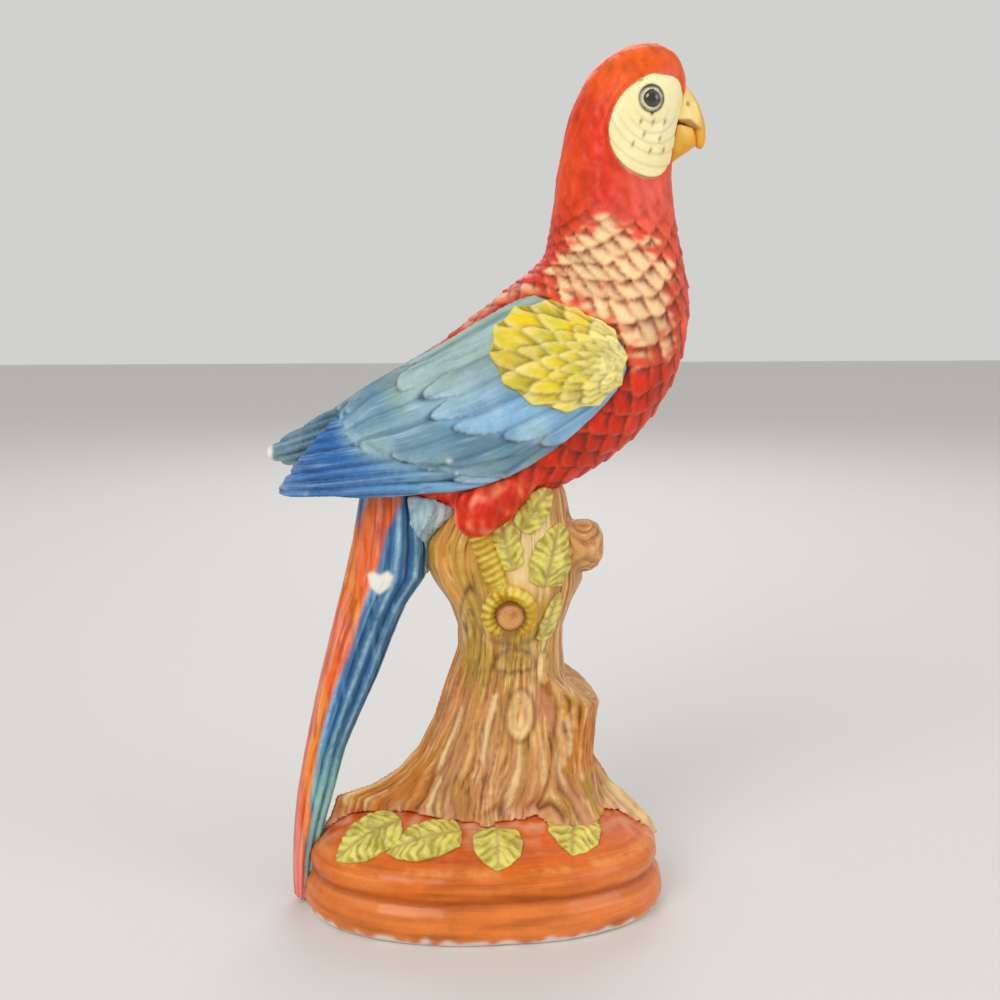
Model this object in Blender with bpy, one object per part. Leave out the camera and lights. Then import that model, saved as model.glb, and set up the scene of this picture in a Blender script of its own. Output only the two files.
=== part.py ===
"""A painted earthenware macaw on a tree stump, with an oval plinth.

Sizes are named in millimetres, and add_piece() turns them into metres. The bird faces +X, its right side
is towards -Y, and the plinth stands on Z = 0.
"""

from math import copysign, cos, pi, radians, sin

import bmesh
import bpy
from mathutils import Matrix, Vector
from mathutils.bvhtree import BVHTree

for old in list(bpy.data.objects):
    bpy.data.objects.remove(old, do_unlink=True)

MM = 0.001

# Clay
CLEARANCE = 0.3
WALL = 5.0

# Plinth
PLINTH_LENGTH = 174.0
PLINTH_WIDTH = 110.0
PLINTH_SQUARENESS = 2.25
LOWER_TIER = 19.7
UPPER_TIER = 14.3
TIER_GROOVE = 5.2
DECK_CROWN = 16.0

# Stump
STUMP_HEIGHT = 168.0
STUMP_DEPTH = 50.0
ROOT_SPREAD = 162.0
BARK_RELIEF = 2.0
BARK_RIDGES = 12
BRANCH_RADIUS = 14.0
BRANCH_HEIGHT = 79.0
KNOB_RADIUS = 12.5
KNOB_REACH = 27.0
KNOB_DROP = 28.0
TWIG_RADIUS = 6.5
TWIG_REACH = 6.0
TWIG_DROP = 53.0
LEAF_THICKNESS = 2.2

# Bird
BIRD_LENGTH = 198.0
BIRD_HEIGHT = 198.3
BREAST_WIDTH = 75.0
NECK_WIDTH = 47.0
HEAD_WIDTH = 42.0
WING_BULGE = 16.0
FEATHER_RELIEF = 1.1
COVERT_THICKNESS = 1.8
SHOULDER_THICKNESS = 2.6
TAIL_WIDTH = 33.0
TAIL_RIDGE = 1.0
THIGH_RADIUS = 13.0
SHANK_RADIUS = 4.8
FOOT_RADIUS = 9.8
TOE_RADIUS = 3.8
EYE_RADIUS = 4.0
FACE_THICKNESS = 1.4
BEAK_WIDTH = 19.0

# Levels that the pieces share
DECK_EDGE = LOWER_TIER + UPPER_TIER
PERCH = DECK_EDGE + STUMP_HEIGHT
GRIP_HEIGHT = PERCH - TWIG_DROP
LEG_PLANE = STUMP_DEPTH / 2 + 2.0


def stump_x(x):
    """The tables of the stump are drawn for roots that spread 162 mm."""
    return x * ROOT_SPREAD / 162.0


def bird_x(x):
    """The tables of the bird are drawn 198 mm long, 198.3 mm high over the perch and 75 mm wide."""
    return x * BIRD_LENGTH / 198.0


def bird_y(y):
    return y * BREAST_WIDTH / 75.0


def bird_z(rise):
    return PERCH + rise * BIRD_HEIGHT / 198.3


def tail_x(x, share):
    """The tail's top follows the bird, and its foot the end of a plinth drawn 174 mm long."""
    hang = min(max(1.0 - share, 0.0), 1.0)
    return bird_x(x) * (1 - hang) + (x - (PLINTH_LENGTH - 174.0) / 2) * hang


def smooth(stations, steps):
    """Rows on a smooth curve through the stations, with the given number of steps between each two."""
    rows = []
    last = len(stations) - 1
    for i in range(last):
        before, after = stations[max(i - 1, 0)], stations[min(i + 2, last)]
        quads = list(zip(before, stations[i], stations[i + 1], after))
        rows += [tuple(curve(*quad, k / steps) for quad in quads) for k in range(steps)]
    rows.append(tuple(stations[-1]))
    return rows


def curve(a, b, c, d, t):
    """The Catmull-Rom value between b and c."""
    return b + (c - a) * t / 2 + (a - 2.5 * b + 2 * c - d / 2) * t**2 + (1.5 * (b - c) + (d - a) / 2) * t**3


def power(value, exponent):
    return copysign(abs(value) ** exponent, value)


def around(count):
    return [2 * pi * k / count for k in range(count)]


def clay(name, colour, roughness):
    material = bpy.data.materials.new(name)
    material.use_nodes = True
    shader = material.node_tree.nodes["Principled BSDF"]
    shader.inputs["Base Color"].default_value = (*colour, 1.0)
    shader.inputs["Roughness"].default_value = roughness
    shader.inputs["Metallic"].default_value = 0.0
    return material


def add_piece(name, bm, colour, roughness=0.45):
    """Turns a bmesh in millimetres into an object in metres, with its faces pointing out.

    The quads are split here, so that a piece and the seat cut for it bend along the same diagonals.
    """
    bmesh.ops.recalc_face_normals(bm, faces=bm.faces)
    bmesh.ops.triangulate(bm, faces=bm.faces)
    bmesh.ops.scale(bm, vec=(MM, MM, MM), verts=bm.verts)
    mesh = bpy.data.meshes.new(name)
    bm.to_mesh(mesh)
    bm.free()
    mesh.shade_smooth()
    mesh.set_sharp_from_angle(angle=radians(45))
    mesh.materials.append(clay(name + "_glaze", colour, roughness))
    piece = bpy.data.objects.new(name, mesh)
    bpy.context.scene.collection.objects.link(piece)
    return piece


def hide(cutter):
    cutter.hide_render = True
    cutter.display_type = "WIRE"
    return cutter


def skin(bm, rings):
    """Joins rings of equally many points with quads and closes each end on the middle of its ring."""
    loops = [[bm.verts.new(point) for point in ring] for ring in rings]
    for lower, upper in zip(loops, loops[1:]):
        for a, b, c, d in zip(lower, lower[1:] + lower[:1], upper[1:] + upper[:1], upper):
            bm.faces.new((a, b, c, d))
    for loop in (loops[0], loops[-1]):
        middle = bm.verts.new(sum((vert.co for vert in loop), Vector()) / len(loop))
        for a, b in zip(loop, loop[1:] + loop[:1]):
            bm.faces.new((a, b, middle))


def loft(name, rings, colour, roughness=0.45):
    bm = bmesh.new()
    skin(bm, rings)
    return add_piece(name, bm, colour, roughness)


def across(back, front, half_width, sides, turn=0.0):
    """An oval ring through a back and a front point, reaching half_width to each side of the line between.

    turn shifts the points round the ring by a share of the step between two.
    """
    back, front = Vector(back), Vector(front)
    middle, reach = (back + front) / 2, (front - back) / 2
    side = Vector((0, -half_width, 0))
    steps = [t + turn * 2 * pi / sides for t in around(sides)]
    return [middle - reach * cos(t) + side * sin(t) for t in steps]


def grown(host):
    """A hidden copy of the host that stands CLEARANCE outside it, for cutting the host's seat."""
    bm = bmesh.new()
    bm.from_mesh(host.data)
    moves = [vert.normal * vert.calc_shell_factor() * CLEARANCE * MM for vert in bm.verts]
    for vert, move in zip(bm.verts, moves):
        vert.co += move
    mesh = bpy.data.meshes.new(host.name + "_seat")
    bm.to_mesh(mesh)
    bm.free()
    seat = bpy.data.objects.new(mesh.name, mesh)
    bpy.context.scene.collection.objects.link(seat)
    return hide(seat)


def carve(piece, cutter):
    cut = piece.modifiers.new("cut_" + cutter.name, "BOOLEAN")
    cut.operation = "DIFFERENCE"
    cut.solver = "EXACT"
    cut.object = cutter


seats = {}


def seat_on(piece, *hosts):
    for host in hosts:
        if host.name not in seats:
            seats[host.name] = grown(host)
        carve(piece, seats[host.name])


def surface(host):
    """A search tree of the host's outer surface, for laying relief pieces on it."""
    bm = bmesh.new()
    bm.from_mesh(host.data)
    bmesh.ops.scale(bm, vec=(1 / MM, 1 / MM, 1 / MM), verts=bm.verts)
    tree = BVHTree.FromBMesh(bm)
    bm.free()
    return tree


def land(tree, start, towards):
    """The point and the normal where a ray from start meets the surface."""
    point, normal, index, distance = tree.ray_cast(start, towards)
    return (point, normal) if point else (start + towards * PLINTH_WIDTH, -towards)


def relief(name, outline, tree, start, up, towards, rise, sink, shares, colour, roughness=0.45):
    """A raised patch that lies on a surface.

    outline gives the edge along X and along up, measured from start. The patch is laid on the surface in
    the direction towards, reaches sink below it, and its top stands rise(ring share, edge share) above it.
    shares gives its rings of points, as shares of the way from the middle to the edge.
    """
    start, up, towards = Vector(start), Vector(up), Vector(towards)
    bm = bmesh.new()

    def laid(u, v, height):
        """The point at a height over the surface, raised half along its normal and half straight back."""
        point, normal = land(tree, start + Vector((u, 0, 0)) + up * v, towards)
        return bm.verts.new(point + (normal - towards).normalized() * height)

    loops = []
    for share in shares:
        edges = [(u * share, v * share, k / len(outline)) for k, (u, v) in enumerate(outline)]
        loops.append([laid(u, v, rise(share, edge)) for u, v, edge in edges])
    loops.append([laid(u, v, -sink) for u, v in outline])
    for inner, outer in zip(loops, loops[1:]):
        for a, b, c, d in zip(inner, inner[1:] + inner[:1], outer[1:] + outer[:1], outer):
            bm.faces.new((a, b, c, d))
    for loop, height in ((loops[0], rise(0, 0)), (loops[-1], -sink)):
        middle = laid(0, 0, height)
        for a, b in zip(loop, loop[1:] + loop[:1]):
            bm.faces.new((middle, a, b))
    return add_piece(name, bm, colour, roughness)


# Plinth: two rounded tiers with a groove between, a crowned deck, and open underneath. The profiles give
# the height as a share of the tier or of the crown, and how far the outline is drawn in from its widest.
PLINTH_SIDES = 32
LOWER_PROFILE = [(0.0, 0.75), (0.14, 0.2), (0.42, 0.0), (0.72, 0.25), (0.92, 0.8)]
UPPER_PROFILE = [(0.0, 1.0), (0.12, 0.8), (0.35, 0.55), (0.6, 0.6), (0.83, 0.95)]
DECK_PROFILE = [(0.0, 0.07), (0.3, 0.13), (0.58, 0.2), (0.82, 0.29), (0.96, 0.4)]


def oval(inset, height):
    """The plinth's outline at a height, drawn in by inset from its widest."""
    length = PLINTH_LENGTH / 2 - inset
    width = PLINTH_WIDTH / 2 - inset
    bend = 2 / PLINTH_SQUARENESS
    points = [(length * power(cos(t), bend), width * power(sin(t), bend)) for t in around(PLINTH_SIDES)]
    return [Vector((x, y, height)) for x, y in points]


def plinth():
    rings = [oval(TIER_GROOVE * inset, LOWER_TIER * share) for share, inset in LOWER_PROFILE]
    rings += [oval(TIER_GROOVE * inset, LOWER_TIER + UPPER_TIER * share) for share, inset in UPPER_PROFILE]
    rings += [oval(PLINTH_WIDTH * inset, DECK_EDGE + DECK_CROWN * share) for share, inset in DECK_PROFILE]
    piece = loft("plinth", rings, (0.62, 0.19, 0.06))
    inside = TIER_GROOVE + WALL
    hollow = [oval(inside, -WALL), oval(inside, DECK_EDGE - 2 * WALL)]
    for share, inset in DECK_PROFILE:
        hollow.append(oval(PLINTH_WIDTH * inset + WALL, DECK_EDGE + DECK_CROWN * share - WALL))
    carve(piece, hide(loft("plinth_cavity", hollow, (0.8, 0.75, 0.65))))
    return piece


# Stump: stations give the height as a share of STUMP_HEIGHT, the left and right outline, the depth as a
# share of STUMP_DEPTH, how square the ring is (under 1 it draws in to a root at each end), and how strong
# the bark's ridges are.
STUMP_SIDES = 2 * BARK_RIDGES
STUMP_STATIONS = [
    (-0.024, -78, 84, 1.06, 0.90, 1.4),
    (0.03, -73, 79, 1.04, 0.90, 1.6),
    (0.07, -71, 73, 1.02, 0.95, 1.6),
    (0.113, -69, 66, 1.0, 1.05, 1.5),
    (0.145, -52, 60, 0.99, 1.30, 1.4),
    (0.19, -40, 56, 0.98, 1.60, 1.1),
    (0.255, -30, 48, 0.98, 1.85, 0.9),
    (0.35, -22, 41, 0.96, 2.0, 0.8),
    (0.45, -17, 38.5, 0.94, 2.0, 0.7),
    (0.553, -11, 37, 0.92, 2.0, 0.6),
    (0.613, -11, 37, 0.92, 2.0, 0.6),
    (0.68, -15, 41, 0.94, 2.0, 0.6),
    (0.74, -22, 46, 0.98, 2.0, 0.5),
    (0.80, -27, 46, 1.04, 2.0, 0.4),
    (0.86, -27, 44, 1.06, 2.0, 0.4),
    (0.93, -19, 40, 1.0, 2.0, 0.3),
    (0.99, -12, 38, 0.9, 2.0, 0.2),
    (1.05, -6, 34, 0.7, 2.0, 0.1),
]


def stump():
    rings = []
    for share, left, right, depth, squareness, ridges in STUMP_STATIONS:
        middle, half = (left + right) / 2, (right - left) / 2
        bend = 2 / squareness
        ring = []
        for t in around(STUMP_SIDES):
            ridge = BARK_RELIEF * ridges * cos(BARK_RIDGES * t) / 2
            x = stump_x(middle + half * power(cos(t), bend)) + ridge * cos(t)
            y = STUMP_DEPTH / 2 * depth * power(sin(t), bend) + ridge * sin(t)
            ring.append(Vector((x, y, DECK_EDGE + STUMP_HEIGHT * share)))
        rings.append(ring)
    return loft("tree_stump", rings, (0.56, 0.27, 0.08), 0.5)


# Side stem: an upright stem at the stump's right, sawn off on a slant.
BRANCH_PLACE = (38.5, -8.0)
BRANCH_SLANT = Vector((0.57, -0.15, 0.81)).normalized()
BRANCH_STATIONS = [
    (-0.05, 1.35), (0.12, 1.25), (0.28, 1.08), (0.52, 0.92), (0.75, 1.02), (0.92, 1.18), (1.45, 1.2),
]


def cut_branch():
    x, y = stump_x(BRANCH_PLACE[0]), BRANCH_PLACE[1]
    rings = []
    for share, girth in BRANCH_STATIONS:
        ring = []
        for t in around(BARK_RIDGES):
            radius = BRANCH_RADIUS * girth + BARK_RELIEF / 4 * cos(BARK_RIDGES / 2 * t)
            ring.append(Vector((x + radius * cos(t), y + radius * sin(t), DECK_EDGE + BRANCH_HEIGHT * share)))
        rings.append(ring)
    bm = bmesh.new()
    skin(bm, rings)
    everything = bm.verts[:] + bm.edges[:] + bm.faces[:]
    through = Vector((x, y, DECK_EDGE + BRANCH_HEIGHT))
    cut = bmesh.ops.bisect_plane(
        bm, geom=everything, plane_co=through, plane_no=BRANCH_SLANT, clear_outer=True
    )
    rim = [part for part in cut["geom_cut"] if isinstance(part, bmesh.types.BMEdge)]
    bmesh.ops.contextual_create(bm, geom=rim)
    return add_piece("cut_branch", bm, (0.60, 0.33, 0.12), 0.5)


# Knob: the broken end of a branch, pointing forward under the breast.
KNOB_STATIONS = [(0.0, 1.0), (0.35, 0.98), (0.6, 1.0), (0.8, 0.96), (0.93, 0.78), (1.0, 0.5)]
KNOB_ROOT = (28.0, -4.0)


def branch_knob():
    x, y = KNOB_ROOT
    rings = []
    for share, girth in KNOB_STATIONS:
        radius = KNOB_RADIUS * girth
        centre = Vector((stump_x(x) + KNOB_REACH * share, y, PERCH - KNOB_DROP + 2 * share))
        rings.append([centre + Vector((0, radius * cos(t), radius * sin(t))) for t in around(12)])
    return loft("branch_knob", rings, (0.66, 0.30, 0.06), 0.5)


# Body, neck and head: each station is a back point and a front point, as places along X and heights
# over the perch, and half of the width there. The breast and the neck have rows of overlapping feathers.
FEATHERS_ROUND = 16
FEATHER_STATIONS = (5, 9)
ROWS_TO_A_STATION = 4
TIP_RISE = 0.45 * FEATHER_RELIEF
ROOT_DEPTH = 0.1 * FEATHER_RELIEF
BREAST, NECK, HEAD = BREAST_WIDTH / 2, NECK_WIDTH / 2, HEAD_WIDTH / 2
BODY_STATIONS = [
    (-58, 24, -54, 18, 0.10 * BREAST),
    (-56, 30, -42, 0, 0.38 * BREAST),
    (-43, 47, -22, -10, 0.64 * BREAST),
    (-25, 62.5, 3, -16, 0.83 * BREAST),
    (-7, 77, 26, -4, 0.93 * BREAST),
    (9, 89.5, 50, 9, 0.98 * BREAST),
    (21, 98.5, 72, 27, 1.0 * BREAST),
    (28, 105, 88, 53, 0.97 * BREAST),
    (30, 113, 93.5, 83, 0.88 * BREAST),
    (32, 126, 88.5, 112, 1.15 * NECK),
    (33.5, 140, 85, 134, 1.0 * NECK),
    (36, 154, 84.5, 147, 1.03 * HEAD),
    (39, 167, 87, 162, 1.0 * HEAD),
    (46, 182, 90, 178, 0.93 * HEAD),
    (54, 191, 88.5, 188, 0.76 * HEAD),
    (63, 196, 84, 194.5, 0.46 * HEAD),
    (71, 198.3, 77, 198, 0.12 * HEAD),
]


def section(back, back_rise, front, front_rise, half_width, sides, turn=0.0):
    """An oval ring of the bird, through a back and a front point given as in its tables."""
    ends = (bird_x(back), 0, bird_z(back_rise)), (bird_x(front), 0, bird_z(front_rise))
    return across(*ends, half_width, sides, turn)


def raised(ring, height):
    """The ring with its points moved out from its middle."""
    middle = sum(ring, Vector()) / len(ring)
    return [point + (point - middle).normalized() * height for point in ring]


def bird_body():
    """A row of feathers is a ring of tips, over a ring of the next row's feathers where they come out.

    The tips stand by turns over and between those of the row before, so each feather rises from the hollow
    between two others to its own tip.
    """
    first, last = FEATHER_STATIONS
    steps = 4 * ROWS_TO_A_STATION
    fine = smooth(BODY_STATIONS, steps)
    rings = [section(*row, FEATHERS_ROUND) for row in BODY_STATIONS[:first]]
    for row, k in enumerate(range(first * steps, last * steps, 4)):
        rings.append(raised(section(*fine[k - 1], FEATHERS_ROUND, (row + 1) % 2 / 2), -ROOT_DEPTH))
        rings.append(raised(section(*fine[k], FEATHERS_ROUND, row % 2 / 2), TIP_RISE))
    rings += [section(*row, FEATHERS_ROUND) for row in fine[last * steps :: steps // 2]]
    return loft("bird_body", rings, (0.60, 0.05, 0.03))


# Undertail coverts: a wedge of small feathers between the thighs, the tail and the stump. Stations are
# the height over the perch, the rear and the front edge, and half of the width.
UNDERTAIL_STATIONS = [(-1, -42, -2, 19), (-8, -41, -8, 18.5), (-14, -40, -15, 16), (-20, -39, -22, 12),
                      (-30, -37, -25, 9), (-40, -33, -26, 6)]


def undertail():
    rings = []
    for rise, back, front, half in UNDERTAIL_STATIONS:
        rings.append(section(back, rise, front, rise, bird_y(half), 12))
    return loft("undertail_coverts", rings, (0.42, 0.52, 0.55))


# Tail: from between the wings down to the plinth's left end. Stations are the rear and the front edge,
# with heights as shares of the perch height, and half of the width as a share of TAIL_WIDTH.
TAIL_SIDES = 12
TAIL_STATIONS = [
    (-54, 1.040, -30, 1.030, 0.46),
    (-57, 0.975, -27, 0.950, 0.50),
    (-60, 0.890, -26, 0.870, 0.52),
    (-63.5, 0.815, -27, 0.800, 0.50),
    (-68, 0.730, -36, 0.737, 0.46),
    (-72, 0.655, -43, 0.655, 0.43),
    (-76.5, 0.565, -50, 0.565, 0.41),
    (-81, 0.465, -58.5, 0.475, 0.38),
    (-85, 0.370, -66, 0.390, 0.35),
    (-88.5, 0.275, -71, 0.300, 0.32),
    (-90.5, 0.190, -76, 0.215, 0.28),
    (-91.5, 0.110, -81, 0.120, 0.24),
    (-91.5, 0.050, -83, 0.050, 0.21),
    (-91.0, 0.015, -84, 0.015, 0.17),
]


def tail():
    rings = []
    for back, low, front, high, share in TAIL_STATIONS:
        ends = (tail_x(back, low), 0, PERCH * low), (tail_x(front, high), 0, PERCH * high)
        ring = across(*ends, TAIL_WIDTH * share, TAIL_SIDES)
        ring[1::2] = raised(ring, TAIL_RIDGE)[1::2]
        rings.append(ring)
    return loft("tail", rings, (0.16, 0.32, 0.55))


# Wings: each station is the top edge and the bottom edge, as places along X, heights over the perch and
# distances from the bird's middle, then how far the outside bulges, as a share of WING_BULGE, how far
# the inside stands from the middle, and how strong the feather ridges are.
WING_STATIONS = [
    (61, 64, 33, 61, 58, 34, 0.05, 31, 0.0),
    (58, 75, 28, 57, 49, 34, 0.50, 24, 0.0),
    (45, 87, 22, 45, 36.5, 36, 0.85, 20, 0.0),
    (23, 90, 19, 28, 22, 36, 1.0, 18, 0.1),
    (8, 84, 15, 10, 11.5, 35, 1.0, 15, 0.2),
    (-7, 75, 11, -6, 6, 33, 0.95, 10, 0.4),
    (-22, 65.5, 6.5, -22, 3.5, 31, 0.82, 6, 0.7),
    (-37, 57, 3, -38, 2, 29, 0.68, 3, 1.0),
    (-50, 50, 2.5, -54, 1.2, 27, 0.55, 2, 1.0),
    (-60, 42, 5, -68, 0.8, 25, 0.42, 4, 1.0),
    (-70, 31, 9, -79, 0.8, 23, 0.30, 8, 0.9),
    (-79, 21, 14, -87, 1.2, 21, 0.18, 12, 0.6),
    (-90, 6.5, 19, -92, 2.5, 19.5, 0.03, 18, 0.0),
]
CROSSED_TIP = [
    (-50, 50, -1, -54, 2, 27, 0.55, 1, 1.0),
    (-62, 42, -2, -68, 3, 24, 0.45, -2, 1.0),
    (-76, 33.5, -3, -80, 6, 19, 0.35, -4, 0.9),
    (-88, 26.5, -4, -90, 11, 12, 0.22, -6, 0.6),
    (-98, 19.5, -2, -98, 15.5, 1, 0.03, -2, 0.0),
]
FEATHERS_ACROSS = 5
WING_INSIDE = [(0.97, 0.35), (0.75, 0.85), (0.45, 1.0), (0.15, 0.8)]


def wing(name, side, stations):
    """side is -1 for the bird's right and +1 for its left."""
    rings = []
    outer = 2 * FEATHERS_ACROSS
    for row in smooth(stations, 2):
        top = Vector((bird_x(row[0]), side * bird_y(row[2]), bird_z(row[1])))
        bottom = Vector((bird_x(row[3]), side * bird_y(row[5]), bird_z(row[4])))
        bulge, inside, ridges = WING_BULGE * row[6], side * bird_y(row[7]), FEATHER_RELIEF * row[8]
        ring = []
        for k in range(outer + 1):
            push = bulge * sin(pi * k / outer) ** 0.8 + (ridges if k % 2 else 0.0)
            ring.append(top.lerp(bottom, k / outer) + Vector((0, side * push, 0.25 * push)))
        for share, depth in WING_INSIDE:
            point = top.lerp(bottom, share)
            point.y += (inside - point.y) * depth
            ring.append(point)
        rings.append(ring)
    return loft(name, rings, (0.10, 0.24, 0.42))


# Layers of small feathers on the wings. The edge is given as places along X and heights over the perch.
COVERT_CENTRE = (-4.0, 45.0)
COVERT_EDGE = [
    (13, 77), (-8, 68), (-32, 54), (-56, 38), (-48, 24), (-24, 18), (2, 20), (25, 29), (40, 43), (30, 65),
]
COVERT_SCALLOP = 1.3
SHOULDER_CENTRE = (31.0, 64.0)
SHOULDER_LENGTH = 58.0
SHOULDER_HEIGHT = 44.0
SHOULDER_TILT = radians(-12)
SHOULDER_FEATHERS = 12


def wing_coverts(name, side, tree):
    """The small feathers end in a scalloped edge, which is the smooth edge pushed out and in by turns."""
    cx, cz = COVERT_CENTRE
    closed = COVERT_EDGE[-1:] + COVERT_EDGE + COVERT_EDGE[:2]
    outline = []
    for k, (x, rise) in enumerate(smooth(closed, 2)[2:-3]):
        arm = Vector((bird_x(x - cx), bird_z(rise) - bird_z(cz)))
        outline.append(tuple(arm + arm.normalized() * (COVERT_SCALLOP if k % 2 else 0.0)))

    def rise_over(ring, edge):
        return COVERT_THICKNESS * (0.75 + 0.25 * ring)

    start = (bird_x(cx), side * PLINTH_WIDTH, bird_z(cz))
    inward = (0, -side, 0)
    blue_grey = (0.30, 0.42, 0.50)
    return relief(name, outline, tree, start, (0, 0, 1), inward, rise_over, 2.0, (0.5, 1.0), blue_grey)


def shoulder_coverts(name, side, tree):
    """A raised oval of feathers that fan out from its middle."""
    points = 2 * SHOULDER_FEATHERS
    turned = Matrix.Rotation(SHOULDER_TILT, 2)
    outline = []
    for k, t in enumerate(around(points)):
        reach = 0.5 if k % 2 else 0.465
        edge = Vector((SHOULDER_LENGTH * reach * cos(t), SHOULDER_HEIGHT * reach * sin(t)))
        outline.append(tuple(turned @ edge))

    def rise_over(ring, edge):
        ridge = FEATHER_RELIEF / 2 if round(edge * points) % 2 else 0.0
        return COVERT_THICKNESS + SHOULDER_THICKNESS * (1 - 0.45 * ring**3) + ridge * ring

    start = (bird_x(SHOULDER_CENTRE[0]), side * PLINTH_WIDTH, bird_z(SHOULDER_CENTRE[1]))
    inward = (0, -side, 0)
    yellow = (0.62, 0.55, 0.08)
    return relief(name, outline, tree, start, (0, 0, 1), inward, rise_over, 3.0, (1 / 3, 2 / 3, 1.0), yellow)


# Legs: a feathered thigh, a scaly shank, and toes that wrap round a twig's cut end. The thigh's stations
# are places along X, heights over the perch, and shares of THIGH_RADIUS.
THIGH_STATIONS = [
    (17, 14, 0.7), (11, 7, 0.92), (3, 0, 1.0), (-3, -6, 0.95), (-5, -12, 0.72), (-5, -16.5, 0.35),
]
THIGH_LEAN = 5.0
SHANK_TOP = (-4.0, -13.0)
GRIP_X = 11.0
TOE_GAP = radians(50)


def tube(name, path, radii, sides, colour, roughness=0.45):
    """A tapered tube through points in one upright plane."""
    aside = Vector((0, 1, 0))
    rings = []
    for i, (point, radius) in enumerate(zip(path, radii)):
        heading = path[min(i + 1, len(path) - 1)] - path[max(i - 1, 0)]
        over = aside.cross(heading.normalized())
        rings.append([point + (aside * cos(t) + over * sin(t)) * radius for t in around(sides)])
    return loft(name, rings, colour, roughness)


def thigh(name, side):
    """It leans in over the leg, towards the body."""
    path, radii = [], []
    for x, rise, girth in THIGH_STATIONS:
        lean = THIGH_LEAN * min(max(rise + 10, 0), 18) / 18
        path.append(Vector((bird_x(x), side * (LEG_PLANE - lean), bird_z(rise))))
        radii.append(THIGH_RADIUS * girth)
    return tube(name, path, radii, 10, (0.55, 0.04, 0.03))


def shank(name, side):
    top = Vector((bird_x(SHANK_TOP[0]), side * LEG_PLANE, bird_z(SHANK_TOP[1])))
    foot = Vector((stump_x(GRIP_X) - FOOT_RADIUS * 0.4, side * LEG_PLANE, GRIP_HEIGHT + FOOT_RADIUS))
    scales = 7
    path = [top.lerp(foot, k / scales) for k in range(scales + 1)]
    radii = [SHANK_RADIUS * (1.0 if k % 2 else 0.92) for k in range(scales + 1)]
    return tube(name, path, radii, 8, (0.50, 0.32, 0.05))


def foot(name, side):
    """Toes curled into an open ring, with the gap at the bottom."""
    centre = Vector((stump_x(GRIP_X), side * LEG_PLANE, GRIP_HEIGHT))
    joints = 11
    path, radii = [], []
    for k in range(joints + 1):
        turn = -pi / 2 + TOE_GAP / 2 + (2 * pi - TOE_GAP) * k / joints
        path.append(centre + Vector((cos(turn), 0, sin(turn))) * FOOT_RADIUS)
        taper = min(1.0, 0.6 + 0.2 * min(k, joints - k))
        radii.append(TOE_RADIUS * taper * (1.0 if k % 2 else 0.9))
    return tube(name, path, radii, 6, (0.50, 0.32, 0.05))


def twig(name, side):
    """The cut end of the perch, which stands out of the stump inside the ring of toes."""
    centre = Vector((stump_x(GRIP_X), 0, GRIP_HEIGHT))
    face = LEG_PLANE + TWIG_REACH
    radius = min(TWIG_RADIUS, FOOT_RADIUS - TOE_RADIUS + 0.5)
    rings = []
    for reach, girth in ((STUMP_DEPTH / 4, 1.0), (face - 1.5, 1.0), (face - 0.4, 0.93), (face, 0.8)):
        width = radius * girth
        offsets = [Vector((width * cos(t), side * reach, width * sin(t))) for t in around(12)]
        rings.append([centre + offset for offset in offsets])
    return loft(name, rings, (0.62, 0.30, 0.10), 0.5)


# Head details, as places along X and heights over the perch. The beak's stations are a rear and a front
# point and half of the width as a share of BEAK_WIDTH.
EYE_PLACE = (72.0, 173.0)
FACE_CENTRE = (68.0, 161.0)
FACE_RINGS = (0.55, 0.82, 1.0)
FACE_EDGE = [
    (70, 182.4), (77, 183), (83.5, 181.8), (86.6, 176.5), (86.2, 169), (84.4, 162.5), (83.2, 153),
    (81, 145.5), (76, 140.8), (69.5, 140.2), (62, 143.5), (56.5, 150), (54, 158), (55.5, 167), (60.5, 175.5),
]
UPPER_BEAK = [
    (80, 184, 85, 183, 0.15), (77, 179.5, 91.2, 179.5, 0.38), (76, 172, 96.2, 172.5, 0.5),
    (77, 165.5, 98.6, 166, 0.5), (93.5, 161.8, 99.4, 161, 0.26), (95, 158.2, 99.4, 157.3, 0.2),
    (95.4, 155.5, 98.8, 154.6, 0.14), (96, 154, 97.8, 153.4, 0.06),
]
LOWER_BEAK = [
    (75, 165, 94.5, 161.6, 0.4), (75, 160, 95.6, 158.5, 0.42), (75, 155.5, 95.6, 155, 0.38),
    (75.5, 151.5, 91.5, 152.2, 0.32), (76, 148.5, 87, 149.3, 0.24), (77, 145.5, 83.5, 146, 0.1),
]
EYE_PROFILE = [(-2.5, 1.0), (0.4, 1.0), (1.4, 0.9), (2.2, 0.68), (2.7, 0.35)]


def eye(name, side, tree):
    """A bead half sunk in the head."""
    start = Vector((bird_x(EYE_PLACE[0]), side * PLINTH_WIDTH, bird_z(EYE_PLACE[1])))
    where, normal = land(tree, start, Vector((0, -side, 0)))
    rings = []
    for reach, girth in EYE_PROFILE:
        radius = EYE_RADIUS * girth
        rings.append([where + Vector((radius * cos(t), side * reach, radius * sin(t))) for t in around(10)])
    return loft(name, rings, (0.02, 0.012, 0.01), 0.08)


def face_patch(name, side, tree):
    """The bare skin between the eye, the cheek and the beak."""
    cx, cz = FACE_CENTRE
    outline = [(bird_x(x - cx), bird_z(rise) - bird_z(cz)) for x, rise in FACE_EDGE]

    def rise_over(ring, edge):
        return FACE_THICKNESS * (1 - 0.4 * ring**4)

    start = (bird_x(cx), side * PLINTH_WIDTH, bird_z(cz))
    inward = (0, -side, 0)
    cream = (0.80, 0.70, 0.50)
    return relief(name, outline, tree, start, (0, 0, 1), inward, rise_over, 2.0, FACE_RINGS, cream)


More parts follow.
